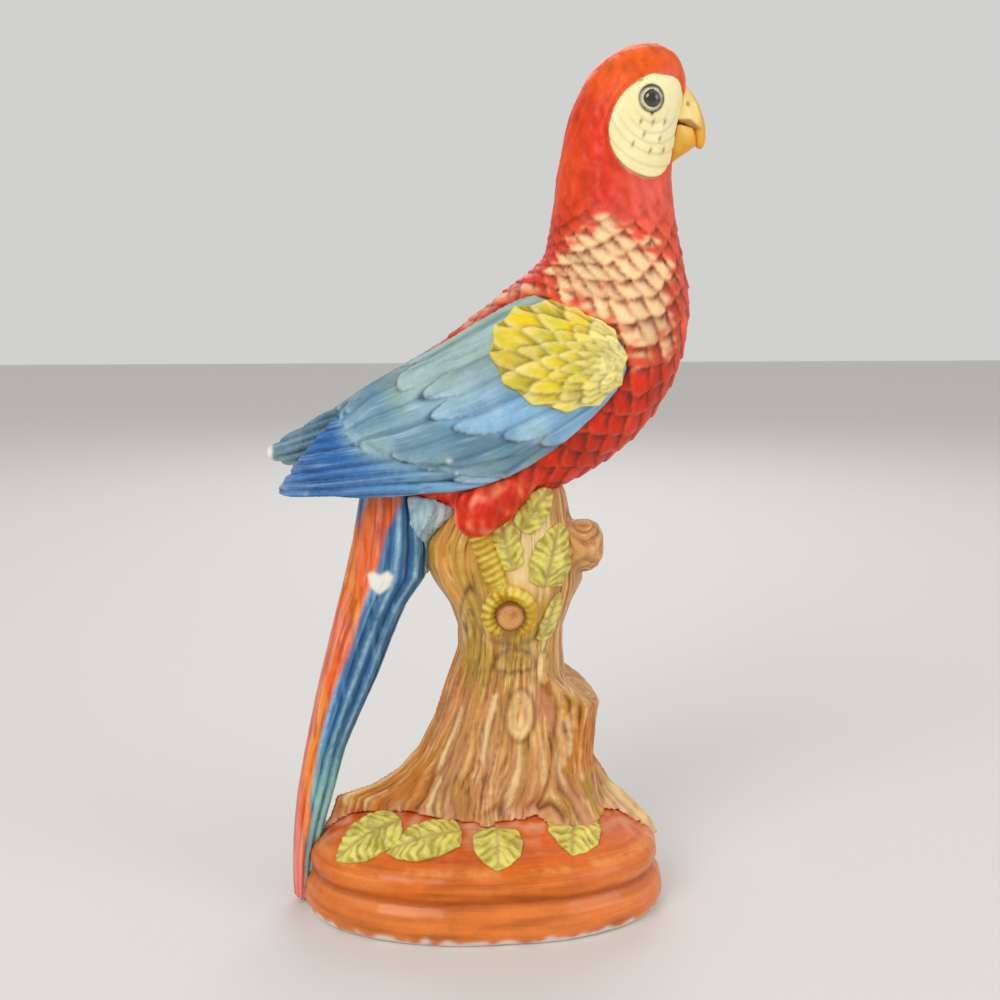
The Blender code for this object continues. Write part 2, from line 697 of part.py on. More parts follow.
def mandible(name, stations):
    rings = [section(*row[:4], BEAK_WIDTH * row[4], 10) for row in stations]
    return loft(name, rings, (0.72, 0.40, 0.08), 0.35)


# Sprigged leaves: the place of the middle, the length and width, and the way that the tip points. On the
# deck the place is along X and a share of half of the plinth's width, and on the stump along X and
# against the perch.
DECK_LEAVES = [
    ("a", -54, 0.42, 33, 26, 200), ("b", -28, 0.57, 37, 20, 190), ("c", 5, 0.67, 21, 24, 265),
    ("d", 41, 0.47, 26, 26, 262),
]
STUMP_LEAVES = [
    ("a", 30.5, -28, 31, 20, 76), ("b", 9, -20, 29, 13, 106), ("c", 30, -57, 26, 8, 70),
    ("d", 22.5, -6, 24, 14, 52),
]
LEAF_EDGE = 10


def leaf_outline(length, width, towards):
    """A pointed oval with notches at alternate points, turned to point towards an angle in degrees."""
    turned = Matrix.Rotation(radians(towards), 2)
    outline = []
    for k, t in enumerate(around(LEAF_EDGE)):
        notch = 0.93 if k % 2 else 1.0
        reach = length / 2 * cos(t) * notch
        spread = width / 2 * power(sin(t), 0.9) * (1 - 0.25 * cos(t)) * notch
        outline.append(tuple(turned @ Vector((reach, spread))))
    return outline


def leaf_rise(ring, edge):
    """The blade swells to each side of a sunk midrib and thins towards its edge."""
    beside = abs(sin(2 * pi * edge))
    return LEAF_THICKNESS * (0.72 + 0.28 * beside * min(1.0, 2 * ring) - 0.3 * ring**3)


def deck_leaf(name, side, leaf, tree):
    label, x, share, length, width, towards = leaf
    outline = [(u, -side * v) for u, v in leaf_outline(length, width, towards)]
    start = (x, side * share * PLINTH_WIDTH / 2, PERCH)
    olive = (0.36, 0.36, 0.07)
    return relief(name, outline, tree, start, (0, 1, 0), (0, 0, -1), leaf_rise, 3.0, (0.5, 1.0), olive)


def stump_leaf(name, side, leaf, tree):
    label, x, below_perch, length, width, towards = leaf
    start = (stump_x(x), side * PLINTH_WIDTH, PERCH + below_perch)
    outline = leaf_outline(length, width, towards)
    inward = (0, -side, 0)
    yellow_green = (0.42, 0.42, 0.10)
    return relief(name, outline, tree, start, (0, 0, 1), inward, leaf_rise, 4.0, (0.5, 1.0), yellow_green)


# Putting the figurine together. A piece that is laid on another is cut back to clear it.
the_plinth = plinth()
the_tail = tail()
the_stump = stump()
the_branch = cut_branch()
the_knob = branch_knob()
the_body = bird_body()
the_undertail = undertail()
right_wing = wing("wing_right", -1, WING_STATIONS)
left_wing = wing("wing_left", 1, WING_STATIONS[:-5] + CROSSED_TIP)

seat_on(left_wing, right_wing)
seat_on(the_body, right_wing, left_wing)
seat_on(the_tail, the_plinth, the_body, right_wing, left_wing)
seat_on(the_undertail, the_body, the_tail, right_wing, left_wing)
seat_on(the_stump, the_plinth, the_tail, the_body, the_undertail)
seat_on(the_branch, the_stump, the_plinth)
seat_on(the_knob, the_stump, the_body)

upper, lower = mandible("beak_upper", UPPER_BEAK), mandible("beak_lower", LOWER_BEAK)
seat_on(upper, the_body)
seat_on(lower, the_body, upper)

for label, side, its_wing in (("right", -1, right_wing), ("left", 1, left_wing)):
    coverts = wing_coverts("wing_coverts_" + label, side, surface(its_wing))
    shoulder = shoulder_coverts("shoulder_coverts_" + label, side, surface(its_wing))
    seat_on(shoulder, its_wing, the_body)
    seat_on(coverts, shoulder, its_wing)

    its_thigh = thigh("thigh_" + label, side)
    its_twig = twig("perch_twig_" + label, side)
    its_foot = foot("foot_" + label, side)
    its_shank = shank("leg_" + label, side)
    seat_on(its_thigh, the_body, its_wing, the_undertail, the_stump)
    seat_on(its_twig, the_stump)
    seat_on(its_foot, the_stump, its_twig)
    seat_on(its_shank, the_stump, its_thigh, its_foot, its_twig)

    its_eye = eye("eye_" + label, side, surface(the_body))
    its_face = face_patch("face_patch_" + label, side, surface(the_body))
    seat_on(its_eye, the_body)
    seat_on(its_face, the_body, its_eye, upper, lower)

    laid = []
    for leaf in DECK_LEAVES:
        blade = deck_leaf("deck_leaf_" + label + "_" + leaf[0], side, leaf, surface(the_plinth))
        seat_on(blade, the_plinth, the_stump, the_branch, *laid)
        laid = [blade]
    laid = []
    for leaf in STUMP_LEAVES:
        blade = stump_leaf("stump_leaf_" + label + "_" + leaf[0], side, leaf, surface(the_stump))
        seat_on(blade, the_stump, its_thigh, its_shank, its_foot, the_body, the_knob, *laid)
        laid.append(blade)
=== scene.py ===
"""A painted earthenware macaw on a tree stump with an oval plinth, as a worn and varnished casting.

Places in the tables are millimetres: X the way the bird faces, Y its left side, Z up from the shelf.
"""

from math import cos, radians, sin

import bmesh
import bpy
import numpy as np
from mathutils import Matrix, Vector, noise
from mathutils.bvhtree import BVHTree


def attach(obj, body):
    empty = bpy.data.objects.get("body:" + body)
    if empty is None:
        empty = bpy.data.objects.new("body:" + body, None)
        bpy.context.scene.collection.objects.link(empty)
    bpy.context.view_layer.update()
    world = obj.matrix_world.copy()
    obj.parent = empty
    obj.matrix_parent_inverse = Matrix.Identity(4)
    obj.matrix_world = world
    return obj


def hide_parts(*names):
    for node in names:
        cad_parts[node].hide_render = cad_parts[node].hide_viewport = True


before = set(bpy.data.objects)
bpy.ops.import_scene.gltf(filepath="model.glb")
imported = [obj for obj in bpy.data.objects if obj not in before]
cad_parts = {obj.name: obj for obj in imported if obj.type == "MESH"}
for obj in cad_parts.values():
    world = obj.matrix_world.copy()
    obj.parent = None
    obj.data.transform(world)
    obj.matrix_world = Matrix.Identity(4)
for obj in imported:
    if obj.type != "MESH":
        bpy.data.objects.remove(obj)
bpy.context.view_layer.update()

# Camera: a 50 mm lens 0.63 m off on the bird's right, level with its breast and tipped down towards the
# plinth, so that the bird faces right in the picture
CAMERA_TURN = radians(-3.0)
CAMERA_TIP = radians(10.6)
CAMERA_REACH = 0.6343
CAMERA_RISE = 0.3152
CAMERA_ASIDE = 0.008

scene = bpy.context.scene


def placed(name, data):
    """A new object of the scene that holds the data."""
    made = bpy.data.objects.new(name, data)
    scene.collection.objects.link(made)
    return made


back = Vector((sin(CAMERA_TURN), -cos(CAMERA_TURN), 0))
right = Vector((cos(CAMERA_TURN), sin(CAMERA_TURN), 0))
ahead = -back * cos(CAMERA_TIP) + Vector((0, 0, -sin(CAMERA_TIP)))
camera = placed("camera", bpy.data.cameras.new("camera"))
camera.data.lens = 50.0
camera.data.sensor_width = 36.0
camera.rotation_mode = "QUATERNION"
camera.location = back * CAMERA_REACH + Vector((CAMERA_ASIDE, 0, CAMERA_RISE))
camera.rotation_quaternion = Matrix((right, right.cross(ahead), -ahead)).transposed().to_quaternion()
scene.camera = camera

# Studio: a pale matt floor under three soft round lamps, a key, a fill and a rim, and an even pale
# surround that lights the figurine from all round and shows behind it
FLOOR_HALF = 3.0
FLOOR_PALE = (226, 225, 222)
BACKDROP_PALE = (226, 226, 224)
BACKDROP_STRENGTH = 0.84
SURROUND_LIGHT = (1.0, 0.99, 0.97, 1.0)
SURROUND_STRENGTH = 0.56
LAMPS_AIM = Vector((0, 0, 0.2))


def srgb(red, green, blue):
    """A colour as it is seen on a screen, 0 to 255, turned into the linear colour that a socket takes."""
    shares = [value / 255 for value in (red, green, blue)]
    return tuple(s / 12.92 if s <= 0.04045 else ((s + 0.055) / 1.055) ** 2.4 for s in shares) + (1.0,)


def node(tree, kind, inputs=None, **settings):
    """Adds a shader node. Each input is a number or a colour to set, or another node's output to link."""
    made = tree.nodes.new("ShaderNode" + kind)
    for name, value in settings.items():
        setattr(made, name, value)
    for key, value in (inputs or {}).items():
        if isinstance(value, bpy.types.NodeSocket):
            tree.links.new(value, made.inputs[key])
        else:
            made.inputs[key].default_value = value
    return made


def math(tree, operation, first, second=0.0, clamp=False):
    """A number worked out from one or two others, each of which may change over the surface."""
    return node(tree, "Math", {0: first, 1: second}, operation=operation, use_clamp=clamp).outputs[0]


def mix(tree, share, under, over):
    """One colour laid over another, where share is 1."""
    return node(tree, "Mix", {0: share, 6: under, 7: over}, data_type="RGBA").outputs[2]


bm = bmesh.new()
bmesh.ops.create_grid(bm, x_segments=2, y_segments=2, size=FLOOR_HALF)
floor_mesh = bpy.data.meshes.new("floor")
bm.to_mesh(floor_mesh)
bm.free()
floor = placed("floor", floor_mesh)
floor_paint = bpy.data.materials.new("floor_paint")
floor_paint.use_nodes = True
floor_shader = floor_paint.node_tree.nodes["Principled BSDF"]
floor_shader.inputs["Base Color"].default_value = srgb(*FLOOR_PALE)
floor_shader.inputs["Roughness"].default_value = 0.75
floor_mesh.materials.append(floor_paint)

for label, place, width, power in (
    ("key", (-0.75, -1.05, 1.15), 0.9, 10.5),
    ("fill", (1.15, -0.75, 0.65), 0.9, 4.4),
    ("rim", (0.1, 1.2, 1.0), 1.0, 5.0),
):
    lamp = bpy.data.lights.new(label, "AREA")
    lamp.shape = "DISK"
    lamp.size = width
    lamp.energy = power
    holder = placed(label, lamp)
    holder.location = place
    holder.rotation_mode = "QUATERNION"
    holder.rotation_quaternion = (LAMPS_AIM - holder.location).to_track_quat("-Z", "Y")

world = bpy.data.worlds.new("surround")
scene.world = world
world.use_nodes = True
sky = world.node_tree
sky.nodes.clear()
rays = node(sky, "LightPath").outputs
seen = math(sky, "MAXIMUM", rays["Is Camera Ray"], rays["Is Glossy Ray"])
seen = math(sky, "MAXIMUM", seen, rays["Is Transmission Ray"])
light = node(sky, "Background", {"Color": SURROUND_LIGHT, "Strength": SURROUND_STRENGTH})
pale = node(sky, "Background", {"Color": srgb(*BACKDROP_PALE), "Strength": BACKDROP_STRENGTH})
shown = node(sky, "MixShader", {0: seen, 1: light.outputs[0], 2: pale.outputs[0]})
node(sky, "OutputWorld", {"Surface": shown.outputs[0]})
scene.view_settings.view_transform = "Standard"

# Plinth: two rounded tiers cast in one with a mounded deck, of white clay painted terracotta, with the
# paint worn off the foot, painted shade in the seam between the tiers, and a painted highlight with worn
# paint along the upper rim and the bulges of the tiers
MM = 0.001
SAME_PLACE = 1e-6
CHIPPED_FOOT = 4.4
LOWER_TIER = 12.0
TIER_SEAM = 19.9
UPPER_TIER = 27.0
UPPER_RIM = 33.0
ROOT_HAZE = 14.0
BARE_CLAY = (240, 236, 226)
SPECK = (0.16, 0.10, 0.07, 1)


def survey(piece):
    """The places, in millimetres, and the outward directions of a piece's points."""
    count = len(piece.data.vertices)
    places, out = np.empty(count * 3, np.float32), np.empty(count * 3, np.float32)
    piece.data.vertices.foreach_get("co", places)
    piece.data.vertices.foreach_get("normal", out)
    return places.reshape(-1, 3).astype(float) / MM, out.reshape(-1, 3).astype(float)


def casting(name, nodes, grain, swell=0.3, relax=10, halvings=0):
    """One closed, evenly meshed skin over copies of CAD nodes, each swollen a little to meet the next.

    grain, the step of its mesh, and swell are millimetres, and relax and halvings are rounds of smoothing
    and of splitting each face. Returns the piece with its points' places and outward directions.
    """
    joined = bmesh.new()
    for source in nodes:
        copy = bmesh.new()
        copy.from_mesh(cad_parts[source].data)
        bmesh.ops.remove_doubles(copy, verts=copy.verts, dist=SAME_PLACE)
        copy.normal_update()
        moves = [vert.normal * swell * MM for vert in copy.verts]
        for vert, move in zip(copy.verts, moves):
            vert.co += move
        step = bpy.data.meshes.new("step")
        copy.to_mesh(step)
        copy.free()
        joined.from_mesh(step)
        bpy.data.meshes.remove(step)
    rough = bpy.data.meshes.new(name)
    joined.to_mesh(rough)
    joined.free()
    piece = placed(name, rough)
    even = piece.modifiers.new("even", "REMESH")
    even.mode = "VOXEL"
    even.voxel_size = grain * MM
    slack = piece.modifiers.new("relax", "SMOOTH")
    slack.iterations = relax
    if halvings:
        finer = piece.modifiers.new("finer", "SUBSURF")
        finer.levels = finer.render_levels = halvings
    cast = piece.evaluated_get(bpy.context.evaluated_depsgraph_get())
    mesh = bpy.data.meshes.new_from_object(cast)
    piece.modifiers.clear()
    piece.data = mesh
    mesh.name = name
    bpy.data.meshes.remove(rough)
    mesh.shade_smooth()
    return piece, *survey(piece)


def model(piece, places):
    """Moves a piece's points to new places in millimetres."""
    piece.data.vertices.foreach_set("co", (places * MM).astype(np.float32).ravel())
    piece.data.update()


def softened(piece, values, rounds=2):
    """Evens a number out over neighbouring points, as slip and glaze round off a cast edge."""
    ends = np.empty(len(piece.data.edges) * 2, np.int32)
    piece.data.edges.foreach_get("vertices", ends)
    one, other = ends.reshape(-1, 2).T
    count = len(piece.data.vertices)
    values = np.broadcast_to(np.asarray(values, float), count)
    meeting = np.bincount(one, minlength=count) + np.bincount(other, minlength=count)
    for _ in range(rounds):
        near = np.bincount(one, values[other], count) + np.bincount(other, values[one], count)
        values = 0.4 * values + 0.6 * near / meeting
    return values


def note(piece, rounds=2, **masks):
    """Writes a number for each point, such as how deep it lies in a groove, for the paint to read."""
    for name, values in masks.items():
        layer = piece.data.attributes.new(name, "FLOAT", "POINT")
        layer.data.foreach_set("value", softened(piece, values, rounds).astype(np.float32))


def brush_along(piece, *chart):
    """Writes each point's place in a chart drawn out along the feathers or the bark, for brush strokes."""
    layer = piece.data.attributes.new("strokes", "FLOAT_VECTOR", "POINT")
    layer.data.foreach_set("vector", np.stack(chart, 1).astype(np.float32).ravel())


def clouds(places, size, shift=0.0):
    """Smooth noise from about -1 to 1, in patches of the given size, which may differ along each axis."""
    scaled = places / np.asarray(size, float) + (shift, 2.3 * shift, -1.7 * shift)
    return np.array([noise.noise(point) for point in scaled.tolist()]) * 1.6


def as_mask(values):
    return np.clip(values, 0, 1)


def ramp(values, start, end):
    """0 before start, 1 after end, and an even bend between."""
    share = as_mask((values - start) / (end - start))
    return share * share * (3 - 2 * share)


def bump_at(distance, width):
    """1 where the distance is nothing, falling off to 0 on both sides."""
    return np.exp(-((distance / width) ** 2))


def worn_and_shaded_clay():
    """The finish that every painted piece shares: mottled paint, painted shade and a dark wash in the
    hollows, painted highlights and paint rubbed off proud edges, fine specks and bare chips."""
    group = bpy.data.node_groups.new("worn painted clay with painted shade and highlights", "ShaderNodeTree")
    for label, kind, value in (
        ("Paint", "Color", (0.5, 0.5, 0.5, 1)), ("Shade and wash", "Color", (0.1, 0.1, 0.1, 1)),
        ("Highlight and rub", "Color", (0.9, 0.9, 0.9, 1)), ("Hollow", "Float", 0.0), ("Proud", "Float", 0.0),
        ("Chip", "Float", 0.0), ("Gloss", "Float", 0.5), ("Brush", "Float", 0.5),
    ):
        socket = group.interface.new_socket(label, in_out="INPUT", socket_type="NodeSocket" + kind)
        socket.default_value = value
    for label, kind in (("Color", "Color"), ("Roughness", "Float"), ("Height", "Float")):
        group.interface.new_socket(label, in_out="OUTPUT", socket_type="NodeSocket" + kind)
    enter = group.nodes.new("NodeGroupInput").outputs
    leave = group.nodes.new("NodeGroupOutput").inputs
    place = node(group, "TexCoord").outputs["Object"]

    def patches(scale, detail, rough):
        inputs = {"Vector": place, "Scale": scale, "Detail": detail, "Roughness": rough}
        return node(group, "TexNoise", inputs).outputs[0]

    def times(first, second, clamp=False):
        return math(group, "MULTIPLY", first, second, clamp)

    def plus(first, second, clamp=False):
        return math(group, "ADD", first, second, clamp)

    def less(first, second):
        return math(group, "SUBTRACT", first, second)

    mottle, strokes, grit = patches(70.0, 3.0, 0.6), patches(420.0, 4.0, 0.7), patches(1900.0, 2.0, 0.5)
    swing = times(less(plus(times(mottle, 0.7), times(strokes, 0.3)), 0.5), enter["Brush"])
    value = plus(times(swing, 1.6), 1.0)
    toned = node(group, "HueSaturation", {"Value": value, "Color": enter["Paint"]}).outputs[0]
    # Painted shade with a dark wash: the hollows take the dark colour, broken up by the strokes
    hollow_shade_and_wash = times(enter["Hollow"], plus(times(strokes, 1.1), 0.42), clamp=True)
    shaded_and_washed = mix(group, hollow_shade_and_wash, toned, enter["Shade and wash"])
    thin = less(plus(times(mottle, 1.8), times(strokes, 1.2)), 0.95)
    # Painted highlight with rubbed paint: proud edges take the light colour where the paint lies thin
    highlit_and_rubbed = mix(group, times(enter["Proud"], thin, clamp=True), shaded_and_washed, enter["Highlight and rub"])
    speckled = mix(group, times(math(group, "GREATER_THAN", grit, 0.70), 0.28), highlit_and_rubbed, SPECK)
    group.links.new(mix(group, enter["Chip"], speckled, srgb(*BARE_CLAY)), leave["Color"])
    rough = plus(less(0.74, times(enter["Gloss"], 0.5)), times(less(strokes, 0.5), 0.35))
    group.links.new(plus(rough, times(enter["Chip"], 0.4), clamp=True), leave["Roughness"])
    skin = plus(times(strokes, 0.7), times(grit, 0.3))
    group.links.new(less(skin, enter["Chip"]), leave["Height"])
    return group


worn_and_shaded_clay_group = worn_and_shaded_clay()


def read(tree, name):
    return node(tree, "Attribute", attribute_name=name).outputs["Fac"]


def painted(piece, ground, layers, shade_and_wash, highlight_and_rub, gloss=0.55, brush=0.5, varnish=0.14, drag=0.5):
    """A coat of paint: the ground, each layer where its mask lies, dragged strokes, then the shared wear with
    painted shade and highlights.

    Of the two colours given after the layers, the dark one is laid in hollows as painted shade and a wash,
    and the light one on proud edges as a painted highlight and rubbed paint. brush and drag say how
    strongly the paint is mottled and streaked, and varnish how thick the clear coat over it is.
    """
    material = bpy.data.materials.new(piece.name + "_paint")
    material.use_nodes = True
    tree = material.node_tree
    shader = tree.nodes["Principled BSDF"].inputs
    noted = {layer.name for layer in piece.data.attributes}
    colour = srgb(*ground)
    for mask, over in layers:
        colour = mix(tree, read(tree, mask), colour, srgb(*over))
    if "tone" in noted:
        lift = math(tree, "ADD", math(tree, "MULTIPLY", read(tree, "tone"), 0.3), 0.85)
        colour = node(tree, "HueSaturation", {"Value": lift, "Color": colour}).outputs[0]
    if "strokes" in noted:
        chart = node(tree, "Attribute", attribute_name="strokes").outputs["Vector"]
        streaks = {"Vector": chart, "Scale": 1.0, "Detail": 3.0, "Roughness": 0.62}
        drawn = node(tree, "TexNoise", streaks).outputs[0]
        for over, start, end in ((shade_and_wash, 0.44, 0.28), (highlight_and_rub, 0.55, 0.70)):
            swing = {"Value": drawn, "From Min": start, "From Max": end, "To Min": 0.0, "To Max": drag}
            colour = mix(tree, node(tree, "MapRange", swing).outputs[0], colour, srgb(*over))
    inputs = {"Paint": colour, "Shade and wash": srgb(*shade_and_wash), "Highlight and rub": srgb(*highlight_and_rub), "Gloss": gloss, "Brush": brush}
    for socket, mask in (("Hollow", "groove"), ("Proud", "ridge"), ("Chip", "chip")):
        if mask in noted:
            inputs[socket] = read(tree, mask)
    finish = node(tree, "Group", inputs, node_tree=worn_and_shaded_clay_group).outputs
    tree.links.new(finish["Color"], shader["Base Color"])
    tree.links.new(finish["Roughness"], shader["Roughness"])
    skin = node(tree, "Bump", {"Height": finish["Height"], "Strength": 0.12, "Distance": 0.0006})
    tree.links.new(skin.outputs[0], shader["Normal"])
    shader["Specular IOR Level"].default_value = 0.22
    shader["Coat Weight"].default_value = varnish
    shader["Coat Roughness"].default_value = 0.16
    piece.data.materials.clear()
    piece.data.materials.append(material)


def fit(piece, slot, *nodes):
    """The piece stands for the CAD nodes, which are hidden, and is hung from the root."""
    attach(piece, "root")
    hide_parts(*nodes)


def skin_of(source):
    """A CAD node's surface, to find the nearest place on it or where a ray meets it."""
    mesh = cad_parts[source].data
    faces = [tuple(face.vertices) for face in mesh.polygons]
    return BVHTree.FromPolygons([tuple(vert.co) for vert in mesh.vertices], faces)


plinth, spots, out = casting("plinth_clay", ["plinth"], 1.1, swell=0.15, relax=6)
waves = clouds(spots, 26.0) * 0.25 + clouds(spots, 7.0, 4.0) * 0.06
spots = spots + out * waves[:, None]
spots[:, 2] = np.maximum(spots[:, 2], 0.0)
model(plinth, spots)
brush_along(plinth, *(spots / (34.0, 34.0, 1.5)).T)

x, y, z = spots.T
fray = clouds(spots, 5.0, 9.0)
foot = ramp(CHIPPED_FOOT - z + 2.2 * fray, 1.0, 2.2) * (out[:, 2] < 0.5)
inside = (out[:, 2] < -0.2) & (z > 1.0) & (np.hypot(x / 80, y / 47) < 1)
# Painted highlight with worn paint: a broken light line along the deck's edge
rim_highlight_and_wear = bump_at(z - UPPER_RIM - 0.8 * fray, 1.1) * ramp(fray, -0.1, 0.5)
# Painted shade: the seam between the tiers is darkened
seam_shade = bump_at(z - TIER_SEAM, 1.8)
deck = ramp(z, UPPER_RIM, UPPER_RIM + 5.0)
strokes = clouds(spots, (38.0, 38.0, 2.6), 21.0)
# Painted highlight: light streaks along the bulge of each tier
tier_highlights = bump_at(z - UPPER_TIER, 5.0) + bump_at(z - LOWER_TIER, 6.0)
trunk = skin_of("tree_stump")
to_trunk = [trunk.find_nearest(Vector(spot) * MM)[3] / MM for spot in spots.tolist()]
note(
    plinth, groove=as_mask(0.6 * seam_shade + 0.4 * ramp(-strokes, 0.35, 0.9) * (1 - deck)),
    ridge=as_mask(rim_highlight_and_wear + ramp(strokes, 0.2, 0.9) * tier_highlights * 0.5),
    chip=as_mask(foot * 0.9 + inside * 1.0), deck=deck * 0.8, salmon=ramp(x, 10.0, 75.0) * 0.5,
    tone=0.5 + 0.4 * strokes, low=ramp(21.0 - z, 0.0, 4.0) * 0.6,
    haze=bump_at(np.array(to_trunk), ROOT_HAZE) * (z > 30) * ramp(fray, -0.5, 0.5) * 0.9,
)
painted(
    plinth, (220, 108, 20),
    [("low", (232, 130, 54)), ("deck", (214, 90, 24)), ("salmon", (236, 130, 72)), ("haze", (232, 172, 136))],
    shade_and_wash=(132, 56, 10), highlight_and_rub=(240, 160, 88), gloss=0.7, varnish=0.3, drag=0.34,
)
fit(plinth, "painted_base", "plinth")

# Stump: a cast trunk with flaring roots, a sawn stem and a broken knob, modelled with a toothed rib so that
# the bark runs down in ridges and out along the roots, then washed with brown and wiped back to cream,
# with painted shade in the furrows and painted highlights on the crests
STUMP_FOOT = 34.0
STUMP_TALL = 168.0
STUMP_HALF_DEPTH = 25.0
BARK_RIDGES = 12
STRANDS_ROUND = 76
STRAND_LENGTH = 30.0
FLOW_STEPS = (-0.09, -0.045, 0.0, 0.045, 0.09)
# Each row: its share of the height, the rear and front ends, the depth and how square the outline is
STUMP_ROWS = np.array([
    (-0.024, -78, 84, 1.06, 0.90), (0.03, -73, 79, 1.04, 0.90), (0.07, -71, 73, 1.02, 0.95),
    (0.113, -69, 66, 1.0, 1.05), (0.145, -52, 60, 0.99, 1.30), (0.19, -40, 56, 0.98, 1.60),
    (0.255, -30, 48, 0.98, 1.85), (0.35, -22, 41, 0.96, 2.0), (0.45, -17, 38.5, 0.94, 2.0),
    (0.553, -11, 37, 0.92, 2.0), (0.613, -11, 37, 0.92, 2.0), (0.68, -15, 41, 0.94, 2.0),
    (0.74, -22, 46, 0.98, 2.0), (0.80, -27, 46, 1.04, 2.0), (0.86, -27, 44, 1.06, 2.0),
    (0.93, -19, 40, 1.0, 2.0), (0.99, -12, 38, 0.9, 2.0), (1.05, -6, 34, 0.7, 2.0),
])
STEM_TOP = np.array((38.5, -8.0, 113.0))
STEM_LEAN = np.array(Vector((0.57, -0.15, 0.81)).normalized())
# Marks in the bark on the bird's right: the middle's X and Z, half width and half height, and for a knot how
# far it stands out
KNOTS = {(16.0, 99.5, 5.2, 10.0): 0.9, (15.5, 99.0, 2.2, 5.5): 0.5, (27.0, 121.0, 2.4, 6.5): -1.0}
MOON = (13.6, 121.5, 7.7, 7.6)
BOWL = (12.5, 147.0, 17.0, 13.5)
LOOP = (-6.2, 139.0, 3.4, 15.0)


def shuffled(rows, columns, salt):
    """An even number from 0 to 1 for each place in rows and columns, always the same for the same place."""
    mixed = np.sin(rows * 127.1 + columns * 311.7 + salt * 74.7) * 43758.5453
    return mixed - np.floor(mixed)


def flow_of(spots):
    """The angle round the trunk at which each point lies, which stays the same all along a ridge of bark."""
    share = (spots[:, 2] - STUMP_FOOT) / STUMP_TALL
    levels, *measures = STUMP_ROWS.T
    rear, front, depth, square = (
        sum(np.interp(share + step, levels, row) for step in FLOW_STEPS) / len(FLOW_STEPS) for row in measures
    )
    u = (spots[:, 0] - (rear + front) / 2) / ((front - rear) / 2)
    v = spots[:, 1] / (STUMP_HALF_DEPTH * depth)
    return np.arctan2(np.sign(v) * np.abs(v) ** (square / 2), np.sign(u) * np.abs(u) ** (square / 2))


def reach_of(mark, x, z):
    """How far each point lies from a mark's middle, where 1 is on the mark's edge."""
    across, level, wide, tall = mark
    return np.hypot((x - across) / wide, (z - level) / tall)


stump_nodes = ["tree_stump", "cut_branch", "branch_knob"]
stump, spots, out = casting("stump_clay", stump_nodes, 0.85, swell=0.35, relax=9)
x, y, z = spots.T
near_stem = ramp(17.0 - np.hypot(x - 42, y + 8), 0.0, 3.0) * (x > 36)
stem = near_stem * ramp(118.0 - z, 0, 6) * ramp(z, 60, 80)
knob = ramp(x, 37.0, 42.0) * ramp(z, 140.0, 152.0)
over_cut = (spots - STEM_TOP) @ STEM_LEAN
on_cut = ramp(over_cut, -1.6, -0.4) * ramp(19.0 - np.hypot(x - 40, y + 8), 0.0, 3.0) * (z > 95) * (x > 30)
facing = ramp(-y, 4.0, 12.0)

# The bark's own chart: strands that wind round the trunk or the stem and run down it in short lengths
angle = flow_of(spots)
stem_angle = np.arctan2(y - STEM_TOP[1], x - STEM_TOP[0])
around_x = np.where(stem > 0.5, np.cos(stem_angle) * 14 + 90, np.cos(angle) * 30)
around_y = np.where(stem > 0.5, np.sin(stem_angle) * 14 + 90, np.sin(angle) * 30)
chart = np.stack([around_x, around_y, z * 0.8 - 0.25 * np.abs(x - 12)], 1)
chart = np.where(knob[:, None] > 0.4, spots * (0.3, 0.3, 1.5), chart)
sway = 0.9 * clouds(chart, (9.0, 9.0, 34.0), 6.0) + 0.4 * clouds(chart, (3.6, 3.6, 15.0), 5.0)
strands = np.where(stem > 0.5, 30 * stem_angle, STRANDS_ROUND * angle) / (2 * np.pi) + sway
strand, slip = np.floor(strands), strands - np.floor(strands)
slip_fine = (strands * 2.7 + 0.6 * clouds(chart, (3.0, 3.0, 14.0), 8.0)) % 1.0
length = z / STRAND_LENGTH + shuffled(strand, 0.0, 2.0) + 0.3 * clouds(chart, (4.0, 4.0, 9.0), 12.0)
tint = shuffled(strand, np.floor(length), 5.0) * (1 - knob) + 0.5 * knob

# Ridges and furrows, stronger towards the roots, plainer under the bird, and rings on the sawn face
broad = clouds(chart, (6.0, 6.0, 26.0))
fine = clouds(chart, (1.2, 1.2, 12.0), 8.0)
plain = ramp(z, 128.0, 160.0)
strength = (1.0 + 0.35 * ramp(105.0 - z, 0.0, 60.0)) * (1 - 0.6 * plain)
slit = bump_at(np.minimum(slip, 1 - slip), 0.11)
hair = bump_at(np.minimum(slip_fine, 1 - slip_fine), 0.16)
furrow = np.maximum(slit * (0.45 + 0.65 * ramp(broad, -0.4, 0.4)), 0.3 * hair)
furrow = furrow * (0.35 + 0.65 * ramp(strength, 0.4, 0.9)) * (1 - on_cut) * (1 - 0.6 * plain) * (1 - knob)
crest = bump_at(slip - 0.45, 0.16) * ramp(tint, 0.3, 0.9)
ribs = 0.5 + 0.5 * np.cos(BARK_RIDGES * angle + 1.2 * clouds(spots, (20.0, 20.0, 40.0), 6.0))
bark = 0.2 * ribs + 0.6 * np.sin(np.pi * slip) ** 0.7 + 0.16 * np.sin(np.pi * slip_fine)
bark = (bark + 0.2 * broad + 0.1 * fine - 0.6) * strength * (1 - on_cut) * (1 - 0.85 * knob)
rings = np.hypot(x - 46, (y + 9) * 1.1)
ring_wave = np.sin(rings * 2.3 + clouds(spots, 9.0) * 1.5)
bark += on_cut * 0.15 * ring_wave

